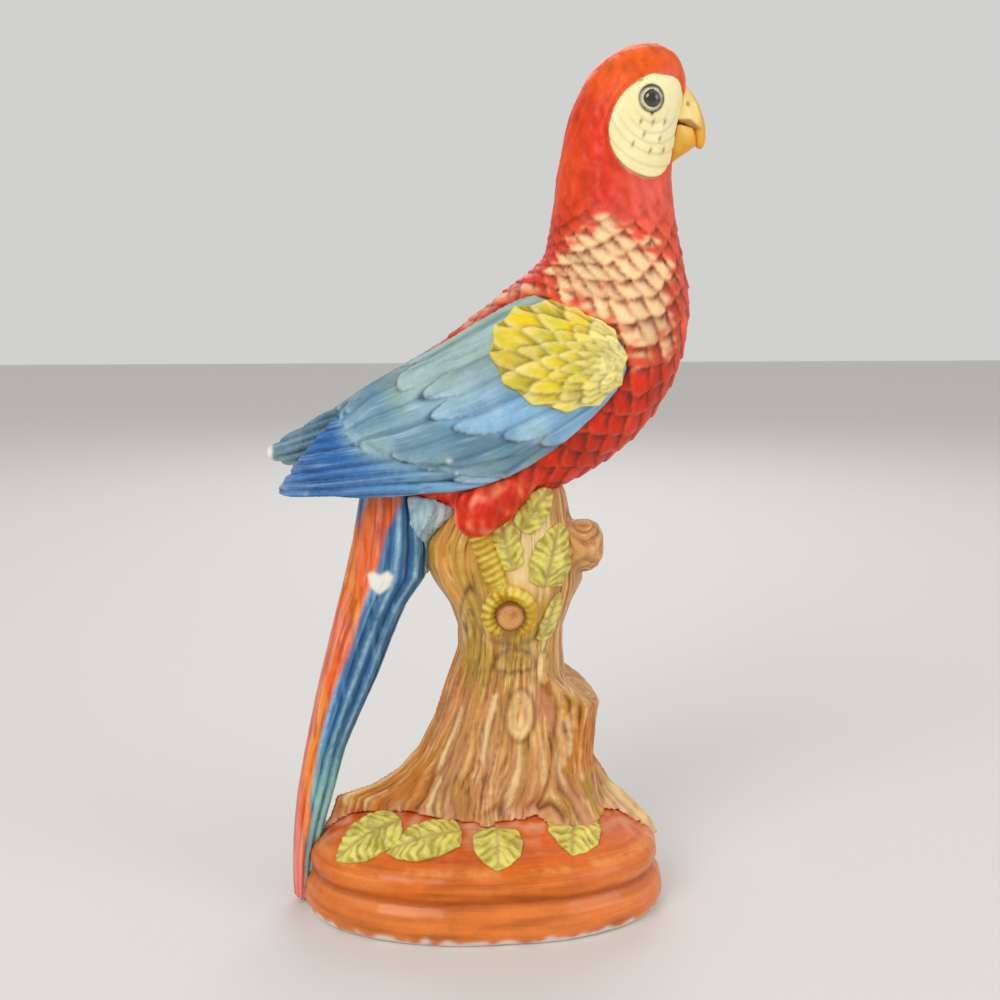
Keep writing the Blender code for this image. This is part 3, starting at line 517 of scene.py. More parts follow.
# The marks: three knots, a half moon over a jagged edge, a bowl-shaped crease and a long loop
pale_knots = np.zeros(len(x))
for knot, lift in KNOTS.items():
    reach = reach_of(knot, x, z)
    bark += facing * lift * (1.4 * bump_at(reach - 1, 0.22) - 0.5 * bump_at(reach, 0.5))
    furrow = furrow * (1 - 0.6 * facing * bump_at(reach, 1.0))
    furrow = np.maximum(furrow, facing * bump_at(reach - 1.3, 0.13) * 0.8)
    pale_knots = np.maximum(pale_knots, facing * bump_at(reach - 0.85, 0.25))
moon = reach_of(MOON, x, z)
over_moon = ramp(z, 120.0, 122.5) * facing
bark += facing * (1.5 * bump_at(moon - 1.0, 0.25) * over_moon - 0.8 * bump_at(moon, 0.7) * over_moon)
jag = z - 119.8 - 1.4 * np.abs(np.sin(x * 0.55))
furrow = np.maximum(furrow, facing * bump_at(jag, 0.9) * ramp(9.5 - np.abs(x - MOON[0]), 0, 3) * 1.1)
furrow = np.maximum(furrow, facing * bump_at(moon - 1.28, 0.13) * over_moon * 0.9)
bowl = reach_of(BOWL, x, z)
bark -= facing * 1.2 * bump_at(bowl - 1.0, 0.10) * ramp(140.0 - z, -2, 4)
furrow = np.maximum(furrow, facing * 0.7 * bump_at(bowl - 1.03, 0.07) * ramp(139.0 - z, -2, 5))
loop = np.abs(reach_of(LOOP, x, z) - 1.0)
bark += facing * 0.8 * bump_at(loop, 0.22)
furrow = np.maximum(furrow, facing * 0.9 * bump_at(loop - 0.42, 0.14) * ramp(z, 122.0, 142.0))

# The foot of the roots: the bark fades out into a skirt of slip that is smeared on to the deck
deck_skin = skin_of("plinth")
down = Vector((0, 0, -1))
hits = [deck_skin.ray_cast(Vector((px * MM, py * MM, 0.2)), down)[0] for px, py in spots[:, :2]]
above = np.maximum(z - np.array([hit.z / MM if hit else 30.0 for hit in hits]), 0.0)
bark = softened(stump, bark)
spots = spots + out * (bark * ramp(above, 0.5, 7.0))[:, None]
skirt = np.exp(-((above / 2.6) ** 1.2)) * (2.6 + 0.9 * clouds(spots, 7.0, 40.0))
sideways = out[:, :2] / np.maximum(np.linalg.norm(out[:, :2], axis=1), 0.2)[:, None]
spots[:, :2] += sideways * (skirt * (out[:, 2] > -0.6) * (above > 0))[:, None]
model(stump, spots)
grain_lines = chart / (1.5, 1.5, 15.0) + 0.25 * sway[:, None]
ring_lines = np.stack([rings * 0.9, 0.1 * x, 0.1 * y], 1)
brush_along(stump, *np.where(on_cut[:, None] > 0.5, ring_lines, grain_lines).T)

olive = bump_at(tint - 0.10, 0.10) + ramp(clouds(chart, (7.0, 7.0, 40.0), 20.0), 0.3, 0.8) * 0.6
olive = as_mask(olive + bump_at(loop, 0.8) * facing + 0.6 * ramp(z, 112, 136) * ramp(x, -14, -2))
mauve = bump_at(tint - 0.36, 0.12) * ramp(130.0 - z, 0, 30) * 0.85
mauve = as_mask(mauve + 0.4 * bump_at(x - 14, 32.0) * ramp(108.0 - z, 0, 40) * facing)
orange = ramp(-x - 4 + 0.25 * (z - 130), -2.0, 12.0) * ramp(135.0 - z, 0, 20) + stem + knob
orange = as_mask(orange + ramp(x, 36.0, 44.0) * ramp(z, 130.0, 150.0))
cream = ramp(tint, 0.86, 0.92) * 0.8 * (1 - plain)
cream = cream + ramp(x, 52, 64) * ramp(66.0 - z, 0, 14) * ramp(tint, 0.35, 0.6)
under_bird = facing * ramp(z, 148.0, 165.0) * ramp(x, 6.0, 16.0) * ramp(44.0 - x, 0.0, 6.0)
cream = as_mask(cream + under_bird * ramp(clouds(spots, 9.0, 17.0), -0.8, 0.2))
soil = ramp(3.5 - above + 2.0 * clouds(spots, 6.0, 50.0), 0.0, 3.0)
haze = ramp(6.0 - above + 2.5 * clouds(spots, 8.0, 33.0), 0.0, 4.0)
haze = haze * ramp(clouds(spots, 11.0, 41.0), -0.2, 0.5)
# The furrows and the marks' creases take painted shade with the brown wash, and the strands' crests and the
# knots' rims a painted highlight with the cream
note(
    stump, groove=as_mask(furrow * ramp(above, 0.5, 4.0)), ridge=as_mask(crest + pale_knots),
    cut=on_cut, ring=on_cut * ramp(-ring_wave, 0.3, 0.95), olive=olive * 0.75 * (1 - on_cut) * (1 - knob),
    mauve=mauve * (1 - on_cut) * (1 - stem), orange=orange * 0.7, cream=cream * 0.85 * (1 - on_cut),
    umber=bump_at(tint - 0.62, 0.07) * 0.6 * (1 - on_cut) * (1 - plain),
    soil=soil * np.maximum(ramp(26.0 - np.abs(x + 66), 0.0, 14.0), 0.5), haze=haze * 0.6,
    tone=as_mask(0.5 + 0.4 * fine + 0.6 * (tint - 0.5)),
)
painted(
    stump, (222, 150, 64),
    [("olive", (196, 164, 54)), ("mauve", (220, 152, 116)), ("umber", (150, 88, 40)),
     ("orange", (222, 124, 26)), ("cream", (246, 218, 162)), ("cut", (206, 150, 88)),
     ("ring", (160, 102, 54)), ("soil", (210, 92, 30)), ("haze", (236, 184, 146))],
    shade_and_wash=(88, 42, 14), highlight_and_rub=(252, 218, 154), gloss=0.5, brush=0.4, drag=0.8,
)
fit(stump, "painted_bark", *stump_nodes)

# Twig ends: the perch is a clay twig luted through the stump, and each cut end shows pale wood with a dark
# heart, ringed by its bark
SIDES = {"right": -1.0, "left": 1.0}
PERCH = (11.0, 149.0)
TWIG_HEART = (12.5, 150.5)

for side_name in SIDES:
    twig, spots, out = casting("twig_end_" + side_name, ["perch_twig_" + side_name], 0.5, swell=0.2, relax=4)
    reach = np.hypot(spots[:, 0] - PERCH[0], spots[:, 2] - PERCH[1])
    end = ramp(np.abs(out[:, 1]), 0.6, 0.9)
    grain = np.sin(reach * 3.4 + clouds(spots, 4.0) * 1.8)
    height = 0.14 * grain * end + 0.3 * clouds(spots, (2.0, 6.0, 2.0)) * (1 - end)
    spots = spots + out * height[:, None]
    model(twig, spots)
    heart = bump_at(np.hypot(spots[:, 0] - TWIG_HEART[0], spots[:, 2] - TWIG_HEART[1]), 1.8)
    note(
        twig, groove=as_mask(ramp(-grain, 0.2, 0.9) * 0.5 * end + (1 - end) * 0.7), ridge=0.4 * end,
        heart=heart * end, rind=bump_at(reach - 6.0, 0.8),
    )
    painted(
        twig, (216, 140, 72), [("heart", (146, 78, 36)), ("rind", (92, 50, 20))],
        shade_and_wash=(150, 84, 36), highlight_and_rub=(244, 196, 136),
    )
    fit(twig, "painted_cut_wood", "perch_twig_" + side_name)

# Leaves: clay leaves pressed in a mould and stuck on with slip, four on the deck and four up the stump on
# each side, each with a sunk midrib and swelling lobes, painted yellow green
DECK_LEAVES = {"a": (-54, 23.1, 200), "b": (-28, 31.35, 190), "c": (5, 36.85, 265), "d": (41, 25.85, 262)}
STUMP_LEAVES = {"a": (30.5, 174, 76), "b": (9, 182, 106), "c": (30, 145, 70), "d": (22.5, 196, 52)}
LOBE_STEP = 4.3


def leaf(source, on_deck, middle, second, towards):
    """A leaf whose plane is X and Y on the deck or X and Z on the stump, pointing towards an angle in it."""
    piece, spots, out = casting("clay_" + source, [source], 0.5, swell=0.3, relax=4)
    side = 1.0 if spots[:, 1].mean() > 0 else -1.0
    u = spots[:, 0] - middle
    v = -side * (spots[:, 1] - second * side) if on_deck else spots[:, 2] - second
    turn = radians(towards)
    along = u * cos(turn) + v * sin(turn)
    across = -u * sin(turn) + v * cos(turn)
    beside = np.abs(across)
    lobes = (along - 0.95 * beside + 0.035 * beside**2) / LOBE_STEP
    lobes = lobes + 0.45 * clouds(spots, 6.0, side) + 0.3 * (across > 0)
    swell = np.sqrt(np.abs(np.sin(np.pi * lobes)))
    rib = bump_at(across + 0.5 * clouds(spots, 12.0, 5.0), 0.9)
    top = ramp(out[:, 2] if on_deck else side * out[:, 1], 0.1, 0.6)
    height = 0.75 * (swell - 0.6) * (1 - rib) * ramp(beside, 0.0, 2.5)
    height = top * (height - 0.3 * rib + 0.1 * clouds(spots, 1.6, 2.0))
    model(piece, spots + out * height[:, None])
    brush_along(piece, lobes * 2.6, beside * 0.22, np.full(len(u), side))
    dip = ramp(0.55 - swell, 0.0, 0.45) * ramp(beside, 0.3, 2.0) * (1 - rib)
    # Painted shade in the dips between the lobes and along the midrib, and a painted highlight on the lobes'
    # crests
    note(
        piece, groove=as_mask(dip * 0.6 + 0.1 * rib) * top,
        ridge=ramp(swell, 0.8, 1.0) * (1 - rib) * top * 0.8, midrib=rib * top,
        lemon=ramp(clouds(spots, 5.0, 6.0) + 0.6 * (swell - 0.7), -0.2, 0.5),
        tone=0.5 + 0.5 * clouds(spots, 4.0, 8.0),
    )
    painted(
        piece, (188, 170, 54), [("lemon", (222, 210, 88)), ("midrib", (192, 168, 96))],
        shade_and_wash=(122, 106, 34), highlight_and_rub=(244, 234, 156), brush=0.6, drag=0.55,
    )
    fit(piece, "leaf_paint", source)


for side_name in SIDES:
    for letter, place in DECK_LEAVES.items():
        leaf("deck_leaf_" + side_name + "_" + letter, True, *place)
    for letter, place in STUMP_LEAVES.items():
        leaf("stump_leaf_" + side_name + "_" + letter, False, *place)

# Body: breast, back, neck, head and thighs, cast in one and modelled with rows of overlapping feathers that
# grow from the head to the thighs, painted scarlet and wiped back to cream on the side of the breast

# Each station from the tail to the crown: the back's X and Z, the breast's X and Z, and the half width
BODY_ROWS = [
    (-58, 226, -54, 220, 3.8), (-56, 232, -42, 202, 14.3), (-43, 249, -22, 192, 24.0),
    (-25, 264.5, 3, 186, 31.1), (-7, 279, 26, 198, 34.9), (9, 291.5, 50, 211, 36.8),
    (21, 300.5, 72, 229, 37.5), (28, 307, 88, 255, 36.4), (30, 315, 93.5, 285, 33.0),
    (32, 328, 88.5, 314, 27.0), (33.5, 342, 85, 336, 23.5), (36, 356, 84.5, 349, 21.6),
    (39, 369, 87, 364, 21.0), (46, 384, 90, 380, 19.5), (54, 393, 88.5, 390, 16.0),
    (63, 398, 84, 396.5, 9.7), (71, 400.3, 77, 400, 2.5),
]
ROWS_TO_A_STATION = 4
ROWS_AT_THE_BREAST = 60
BREAST_STATION = 5
FEATHERS_ROUND = 16
HEAD_FEATHERS_ROUND = 34
CREAM_EDGE = [
    (44, 318), (54, 322), (70, 313), (78, 303), (81, 290), (82, 277), (77, 268), (68, 266), (60, 280),
    (49, 288), (41, 292), (31, 296), (30, 304), (36, 311),
]
BACK_STRIP = [
    (-19, 269), (-6, 279), (7, 289), (16, 293), (27, 293), (16, 301), (3, 291), (-13, 278), (-24, 268),
]
FACE_CORNERS = np.array([
    (70, 384.4), (77, 385), (83.5, 383.8), (86.6, 378.5), (86.2, 371), (84.4, 364.5), (83.2, 355),
    (81, 347.5), (76, 342.8), (69.5, 342.2), (62, 345.5), (56.5, 352), (54, 360), (55.5, 369), (60.5, 377.5),
])
FACE_CREAM = (253, 242, 186)
PARTS_OF_A_SIDE = 8
FAR_OFF = 9.0


def shingle(row, column, overlap, scallop, sharp=1.8, ragged=0.12, salt=0.0, wrap=None):
    """Feathers that overlap as roof tiles do.

    row grows by one from each row's roots to the next one's, downstream, and column by one from feather to
    feather. overlap is a feather's length in rows, scallop how far its sides fall short of its tip, in
    rows, and sharp the bend of its tip. Returns the rise at each point (0 root to 1 tip), how far it lies
    past the edge over it and before its own edge, both in rows, the offset across its feather from -0.5 to
    0.5 and the feather's own number.
    """
    taken = np.zeros(len(row), bool)
    past = np.full(len(row), FAR_OFF)
    rise, before, aside, own = (np.zeros(len(row)) for _ in range(4))
    first = np.floor(row)
    for upstream in range(int(np.ceil(overlap * (1 + ragged))), -2, -1):
        index = first - upstream
        shift = 0.5 * (index % 2)
        spot = np.round(column - shift)
        key = spot % wrap if wrap else spot
        wobble = shuffled(index, key, salt)
        offset = column - shift - spot + 0.10 * (shuffled(index, key, salt + 5) - 0.5)
        length = overlap * (1 + ragged * (2 * wobble - 1))
        tip = length - scallop * np.abs(2 * offset) ** sharp
        inside = tip - (row - index)
        covers = (~taken) & ((inside > 0) | (upstream == -1))
        rise[covers] = as_mask((row - index)[covers] / length[covers])
        before[covers] = np.maximum(inside[covers], 0)
        aside[covers] = offset[covers]
        own[covers] = wobble[covers]
        open_still = ~taken & ~covers
        past[open_still] = np.minimum(past[open_still], -inside[open_still])
        taken |= covers
    return rise, past, before, aside, own


def pocket_of(past, aside, narrow, wide, floor):
    """The sunk shadow past a feather's edge, deepest in the notch between two feathers."""
    notch = as_mask(1 - 2.1 * np.abs(aside))
    return bump_at(past, narrow + wide * notch) * (floor + (1 - floor) * notch)


def within(u, v, outline, soft):
    """1 inside a flat outline and 0 outside, with a fade of soft millimetres across its edge."""
    inside = np.zeros(len(u), bool)
    nearest = np.full(len(u), np.inf)
    for (x0, y0), (x1, y1) in zip(outline, outline[1:] + outline[:1]):
        ex, ey = x1 - x0, y1 - y0
        share = as_mask(((u - x0) * ex + (v - y0) * ey) / (ex * ex + ey * ey))
        nearest = np.minimum(nearest, np.hypot(u - x0 - share * ex, v - y0 - share * ey))
        crossed = (y0 > v) != (y1 > v)
        inside ^= crossed & (u < ex * (v - y0) / (ey if ey else 1e-9) + x0)
    return as_mask(0.5 + np.where(inside, nearest, -nearest) / soft)


def chart_of(x, z, edges):
    """How far each point lies along a form, in stations, and across it, from 0 to 1, by its cross lines."""
    edges = np.array(edges, float)
    tops, feet = edges[:, :2], edges[:, 2:4]
    lines = feet - tops
    off_x, off_z = x[None] - tops[:, 0, None], z[None] - tops[:, 1, None]
    passing = lines[:, 0, None] * off_z - lines[:, 1, None] * off_x
    passing *= np.sign(passing[0].mean())
    passing /= np.hypot(lines[:, 0], lines[:, 1])[:, None]
    gone = np.argmin(passing[1:-1] > 0, axis=0)
    gone = np.where((passing[1:-1] > 0).all(0), len(edges) - 2, gone)
    pick = np.arange(len(x))
    near, far = passing[gone, pick], passing[gone + 1, pick]
    station = gone + np.clip(near / (near - far + 1e-9), -1.0, 2.0)
    steps = np.arange(len(edges))
    top = np.stack([np.interp(station, steps, tops[:, k]) for k in (0, 1)], 1)
    foot = np.stack([np.interp(station, steps, feet[:, k]) for k in (0, 1)], 1)
    chord = foot - top
    share = ((x - top[:, 0]) * chord[:, 0] + (z - top[:, 1]) * chord[:, 1]) / (chord**2).sum(1)
    return station, share


def curve_through(corners):
    """Places along a smooth closed curve through the corners of a flat outline."""
    one, two, three = np.roll(corners, 1, 0), np.roll(corners, -1, 0), np.roll(corners, -2, 0)
    share = (np.arange(PARTS_OF_A_SIDE) / PARTS_OF_A_SIDE)[:, None, None]
    bend = (2 * one - 5 * corners + 4 * two - three) * share**2
    bend = bend + (3 * corners - one - 3 * two + three) * share**3
    return (corners + 0.5 * ((two - one) * share + bend)).transpose(1, 0, 2).reshape(-1, 2)


body_nodes = ["bird_body", "thigh_right", "thigh_left"]
body, spots, out = casting("bird_clay", body_nodes, 1.85, swell=0.5, relax=5, halvings=1)
x, y, z = spots.T
warp = clouds(spots, 15.0, 2.0)
station, share = chart_of(x, z, BODY_ROWS)
half = np.interp(station, np.arange(len(BODY_ROWS)), [row[4] for row in BODY_ROWS])
turn = np.arctan2(y / half, 1 - 2 * share)
rows = ROWS_AT_THE_BREAST - ROWS_TO_A_STATION * (station - BREAST_STATION) + 0.10 * warp
columns = turn / (2 * np.pi) * FEATHERS_ROUND + 0.07 * clouds(spots, 12.0, 7.0)
rise, past, before, aside, own = shingle(rows, columns, 2.0, 0.93, sharp=1.6, salt=1.0, wrap=FEATHERS_ROUND)
head_columns = turn / (2 * np.pi) * HEAD_FEATHERS_ROUND
head = shingle(rows * 2.3, head_columns, 2.4, 1.2, ragged=0.3, salt=2.0, wrap=HEAD_FEATHERS_ROUND)
head_rise, head_past = head[:2]
lumps = clouds(np.stack([x + 0.3 * z, y, 0.45 * z], 1), 3.4, 27.0)
tufts = clouds(spots, (5.0, 5.0, 9.0), 15.0)
big = ramp(334.0 - z + 5 * warp, 0.0, 18.0)
thighs = ramp(212.0 - z, 0.0, 6.0) * ramp(26.0 - x, 0.0, 10.0)
crown = 1 - 0.5 * (2 * np.abs(aside)) ** 2
pocket = pocket_of(past, aside, 0.12, 0.46, 0.25)
head_height = 0.3 * (head_rise - 0.4) + 0.22 * lumps
height = big * (rise**1.2 * crown - 0.36 - 0.4 * pocket) + (1 - big) * head_height
height = height * (1 - thighs) + thighs * 0.45 * tufts + 0.08 * clouds(spots, 2.2, 3.0)
height = softened(body, height, 1)
face_outline = [tuple(corner) for corner in curve_through(FACE_CORNERS)]
cheeks = ramp(np.abs(y), 5.0, 8.0)
bare = as_mask(1.7 * within(x, z, face_outline, 4.0)) * cheeks
height = height * (1 - bare) - 0.9 * bare
model(body, spots + out * height[:, None])
brush_along(body, (x - 0.35 * z) / 2.4, y / 2.4, (z + 0.35 * x) / 9.0)

# Painted shade: the pockets past each feather's edge and the hollows between the head's lumps are darkened
groove = 1.3 * big * pocket + (1 - big) * (0.1 * bump_at(head_past, 0.3) + 0.16 * ramp(-lumps, 0.2, 0.8))
groove = as_mask(groove) * (1 - thighs) * (1 - bare) + thighs * ramp(-tufts, 0.2, 0.7) * 0.4
# Painted highlight: a light band just inside each feather's tip and on the head's lumps
ridge = big * bump_at(before, 0.22) * 0.4 + (1 - big) * 0.1 * ramp(lumps, 0.1, 0.8)
nudge = own - 0.5
near_cream = within(x + 3 * nudge, z + 3 * nudge, CREAM_EDGE, 18.0) * ramp(np.abs(y), 10.0, 22.0)
cream = near_cream + 0.4 * nudge + 0.3 * clouds(spots, (7.0, 7.0, 3.0), 13.0) + 0.25 * (rise - 0.5)
cream = ramp(cream, 0.28, 0.72) * (1 - 0.5 * pocket) * ramp(near_cream, 0.0, 0.2)
strip = within(x, z, BACK_STRIP, 5.0) * ramp(clouds(spots, 8.0, 5.0) + 0.3, -0.3, 0.4)
by_the_beak = np.hypot((x - 81) / 6.0, (z - 384) / 8.0)
orange = ramp(0.5 * x + z, 380.0, 425.0) * ramp(z, 352.0, 380.0)
orange = orange + 0.5 * bump_at(np.hypot(x - 34, (z - 345) * 0.5), 12.0) + bump_at(by_the_beak, 0.9) * 0.3
coral = ramp(x, 50.0, 66.0) * ramp(374.0 - z, 0, 26.0) * ramp(z, 248, 282) + ramp(near_cream, 0.0, 0.4)
pink = bump_at(np.hypot((x - 72) / 14, (z - 334) / 11), 1.0) * (0.5 + 0.5 * lumps)
note(
    body, rounds=1, groove=groove, ridge=as_mask(ridge + thighs * ramp(tufts, 0.1, 0.6)),
    tone=as_mask(np.where(big > 0.5, own, 0.5 + 0.4 * lumps)), cream=as_mask(cream + 0.8 * strip),
    orange=as_mask(orange), coral=as_mask(coral) * 0.8, pink=as_mask(pink + bump_at(by_the_beak, 0.8) * 0.5),
    skin=within(x, z, face_outline, 0.8) * cheeks,
    worn=thighs * ramp(tufts, -0.1, 0.5) * ramp(14.0 - x, 0.0, 14.0) * 0.6,
)
painted(
    body, (222, 40, 2),
    [("orange", (242, 96, 14)), ("coral", (236, 88, 58)), ("pink", (236, 96, 90)), ("cream", (250, 212, 156)),
     ("worn", (246, 150, 112)), ("skin", FACE_CREAM)],
    shade_and_wash=(112, 36, 14), highlight_and_rub=(248, 136, 88), gloss=0.5, varnish=0.1, drag=0.16,
)
fit(body, "red_plumage", *body_nodes)

# Wings: each is cast against the body in three tiers of long feathers that start under the shoulder, the
# last one the flight feathers with their deep grooves, painted pale grey blue in front and full blue behind

# Each cross line from the shoulder to the tip: the upper edge's X and Z, then the lower edge's
WING_EDGES = [
    (61, 266, 61, 260), (58, 277, 57, 251), (45, 289, 45, 238.5), (23, 292, 28, 224), (8, 286, 10, 213.5),
    (-7, 277, -6, 208), (-22, 267.5, -22, 205.5), (-37, 259, -38, 204), (-50, 252, -54, 203.2),
    (-60, 244, -68, 202.8), (-70, 233, -79, 202.8), (-79, 223, -87, 203.2), (-90, 208.5, -92, 204.5),
]
# The left wing's tip crosses over the right one and lies higher
CROSSED_EDGES = WING_EDGES[:-5] + [
    (-50, 252, -54, 204), (-62, 244, -68, 205), (-76, 235.5, -80, 208), (-88, 228.5, -90, 213),
    (-98, 221.5, -98, 217.5),
]
# Where the first and the second tier end, in stations, by the share across the wing
FIRST_TIER = [(0.0, 7.0), (0.25, 7.0), (0.45, 6.3), (0.6, 5.2), (0.75, 4.0), (1.0, 2.7)]
SECOND_TIER = [(0.0, 9.4), (0.35, 8.9), (0.6, 8.0), (0.8, 6.3), (0.92, 5.0), (1.0, 4.2)]
FEATHERS_ACROSS = 6
FLIGHT_PIVOT = (-190.0, 197.0)
FLIGHT_STEP = 0.034
WHITE_CHIPS = [(-16, 221), (-12, 215.5), (24.5, 229), (-28, 205.5), (-80, 205), (-91, 208)]

for side_name, side in SIDES.items():
    edges = WING_EDGES if side < 0 else CROSSED_EDGES
    wing_nodes = ["wing_" + side_name, "wing_coverts_" + side_name]
    wing, spots, out = casting("wing_clay_" + side_name, wing_nodes, 0.7, swell=0.3, relax=8)
    x, y, z = spots.T
    station, share = chart_of(x, z, edges)
    share = as_mask(share)
    first = np.interp(share, *np.array(FIRST_TIER).T)
    second = np.interp(share, *np.array(SECOND_TIER).T)
    last = len(edges) - 0.6
    coverts = np.where(station < first, station / first, 1 + (station - first) / (second - first))
    rows = np.where(station < second, coverts, 2 + (station - second) / (last - second))
    columns = share * FEATHERS_ACROSS + 0.3 * np.sin(rows * 1.3) + 0.08 * clouds(spots, 20.0, side)
    lanes = (z - FLIGHT_PIVOT[1]) / (x - FLIGHT_PIVOT[0]) / FLIGHT_STEP
    columns = np.where(rows > 2, lanes + 0.1 * clouds(spots, (30.0, 30.0, 12.0), side), columns)
    feathers = shingle(rows, columns, 1.0, 0.13, sharp=2.4, ragged=0.09, salt=3.0 + side)
    rise, past, before, aside, own = feathers
    tier = np.clip(rows, 0, 3)
    deep = ramp(tier, 1.9, 2.2)
    outer = np.maximum(ramp(side * out[:, 1], -0.15, 0.35), ramp(-x, 48.0, 54.0))
    furrow = bump_at(np.abs(aside) - 0.5, 0.07)
    crown = 1 - (2 * np.abs(aside)) ** 2.4
    height = (0.3 + 0.6 * deep) * crown + 0.6 * rise * (tier < 2) - (0.2 + 0.7 * deep) * furrow - 0.35
    height = softened(wing, outer * height + outer * 0.12 * bump_at(aside, 0.05) * deep)
    model(wing, spots + out * height[:, None])
    brush_along(wing, station * 0.35, columns * 4.5, rows * 0.8 + side)

    barbs = bump_at(clouds(np.stack([station * 0.3, columns * 2.4, rows * 2], 1), 1.0, 3.0), 0.09)
    # Painted shade darkens the furrows between feathers and the strip past each feather's edge; a painted
    # highlight lightens each feather's rim and crown
    groove = furrow * (0.42 + 0.5 * deep) + bump_at(past, 0.03) * 0.85 + (0.16 + 0.5 * deep) * barbs
    upper = ramp(0.62 - share, 0.0, 0.5) * (1 - ramp(tier, 0.9, 1.4))
    chips = sum(bump_at(np.hypot((x - cx) * 0.7, z - cz), 0.9) for cx, cz in WHITE_CHIPS)
    broken_tip = (side > 0) * ramp(-x, 95.0, 96.6)
    note(
        wing, groove=as_mask(groove) * outer,
        ridge=as_mask(bump_at(before, 0.04) * 0.5 + 0.3 * crown * ramp(rise, 0.2, 1.0)) * outer,
        tone=own, second=ramp(tier, 0.95, 1.05) * (1 - deep) * 0.85,
        deep=deep * outer * ramp(station, 5.0, 9.5),
        green=as_mask(upper + 0.4 * ramp(clouds(spots, 15.0, 11.0), 0.1, 0.7)) * (1 - deep) * 0.8,
        pale=ramp(clouds(spots, (14.0, 14.0, 9.0), 19.0), 0.0, 0.7) * (1 - deep) * 0.6,
        # Painted shade: the rear of the far wing, the left one, is painted a duller, darker blue
        far=(side > 0) * ramp(-x, 45.0, 60.0),
        chip=as_mask(chips * ramp(clouds(spots, 2.0, 8.0), -0.5, 0.1) + broken_tip) * outer,
    )
    painted(
        wing, (124, 174, 212),
        [("pale", (164, 204, 222)), ("second", (98, 138, 156)), ("green", (158, 182, 160)),
         # The last layer, far, is the painted shade on the far wing's rear
         ("deep", (40, 106, 172)), ("far", (112, 146, 162))],
        shade_and_wash=(22, 52, 96), highlight_and_rub=(206, 230, 236), gloss=0.45, drag=0.34,
    )
    fit(wing, "blue_plumage", *wing_nodes)

# Shoulders: a raised oval of yellow clay feathers luted on each wing, small over most of it and long round
# its rear, where they all point away from one root at the front
SHOULDER_MIDDLE = (31.0, 266.0)
SHOULDER_HALVES = (29.0, 22.0)
SHOULDER_TURN = radians(-12)
SHOULDER_ROOT = (1.12, 0.18)
SHOULDER_FEATHERS = 28

for side_name, side in SIDES.items():
    source = "shoulder_coverts_" + side_name
    shoulder, spots, out = casting("shoulder_clay_" + side_name, [source], 0.6, swell=0.4, relax=12)
    u, v = spots[:, 0] - SHOULDER_MIDDLE[0], spots[:, 2] - SHOULDER_MIDDLE[1]
    eu = (u * cos(SHOULDER_TURN) + v * sin(SHOULDER_TURN)) / SHOULDER_HALVES[0]
    ev = (-u * sin(SHOULDER_TURN) + v * cos(SHOULDER_TURN)) / SHOULDER_HALVES[1]
    du, dv = eu - SHOULDER_ROOT[0], ev - SHOULDER_ROOT[1]
    away = np.hypot(du, dv) + 1e-6
    along = (SHOULDER_ROOT[0] * du + SHOULDER_ROOT[1] * dv) / away
    inside = np.maximum(along**2 - SHOULDER_ROOT[0] ** 2 - SHOULDER_ROOT[1] ** 2 + 1.0, 0.02)
    share = away / (np.sqrt(inside) - along)
    rows = np.interp(share, [0.0, 0.70, 1.0], [0.0, 6.0, 7.4])
    columns = np.arctan2(dv, -du) / (2 * np.pi) * SHOULDER_FEATHERS + 0.08 * clouds(spots, 8.0, side)
    feathers = shingle(rows, columns, 1.75, 0.8, ragged=0.1, salt=6.0 + side, wrap=SHOULDER_FEATHERS)
    rise, past, before, aside, own = feathers
    outer = ramp(side * out[:, 1], 0.0, 0.5)
    crown = 1 - 0.6 * (2 * aside) ** 2
    pocket = pocket_of(past, aside, 0.14, 0.3, 0.35)
    height = softened(shoulder, outer * (1.15 * rise**1.2 * crown - 0.42 * pocket - 0.4))
    model(shoulder, spots + out * height[:, None])
    brush_along(shoulder, columns * 3.2, rows * 0.5, own * 9.0)
    # Painted shade in the pockets past each feather's edge, a painted highlight at each feather's tip, and a
    # paler painted highlight over the front of the oval
    note(
        shoulder, groove=pocket * outer, ridge=bump_at(before, 0.4) * 0.7 * outer, tone=own,
        pale=ramp(eu + 0.3 * clouds(spots, 9.0, 3.0), 0.0, 0.6) * 0.85,
        lime=ramp(clouds(spots, 11.0, 8.0), 0.0, 0.5) * 0.6,
    )
    painted(
        shoulder, (234, 204, 30), [("lime", (208, 202, 52)), ("pale", (244, 230, 140))],
        shade_and_wash=(112, 86, 14), highlight_and_rub=(255, 246, 186), gloss=0.5, drag=0.35,
    )
    fit(shoulder, "yellow_plumage", source)

# Tail: long clay feathers pressed side by side, which run from the rump down to the plinth's end and brace
# the casting there, painted blue with an orange band along the middle ones
TAIL_TALL = 202.0
TAIL_BROAD = 33.0
TAIL_PLUMES = 6
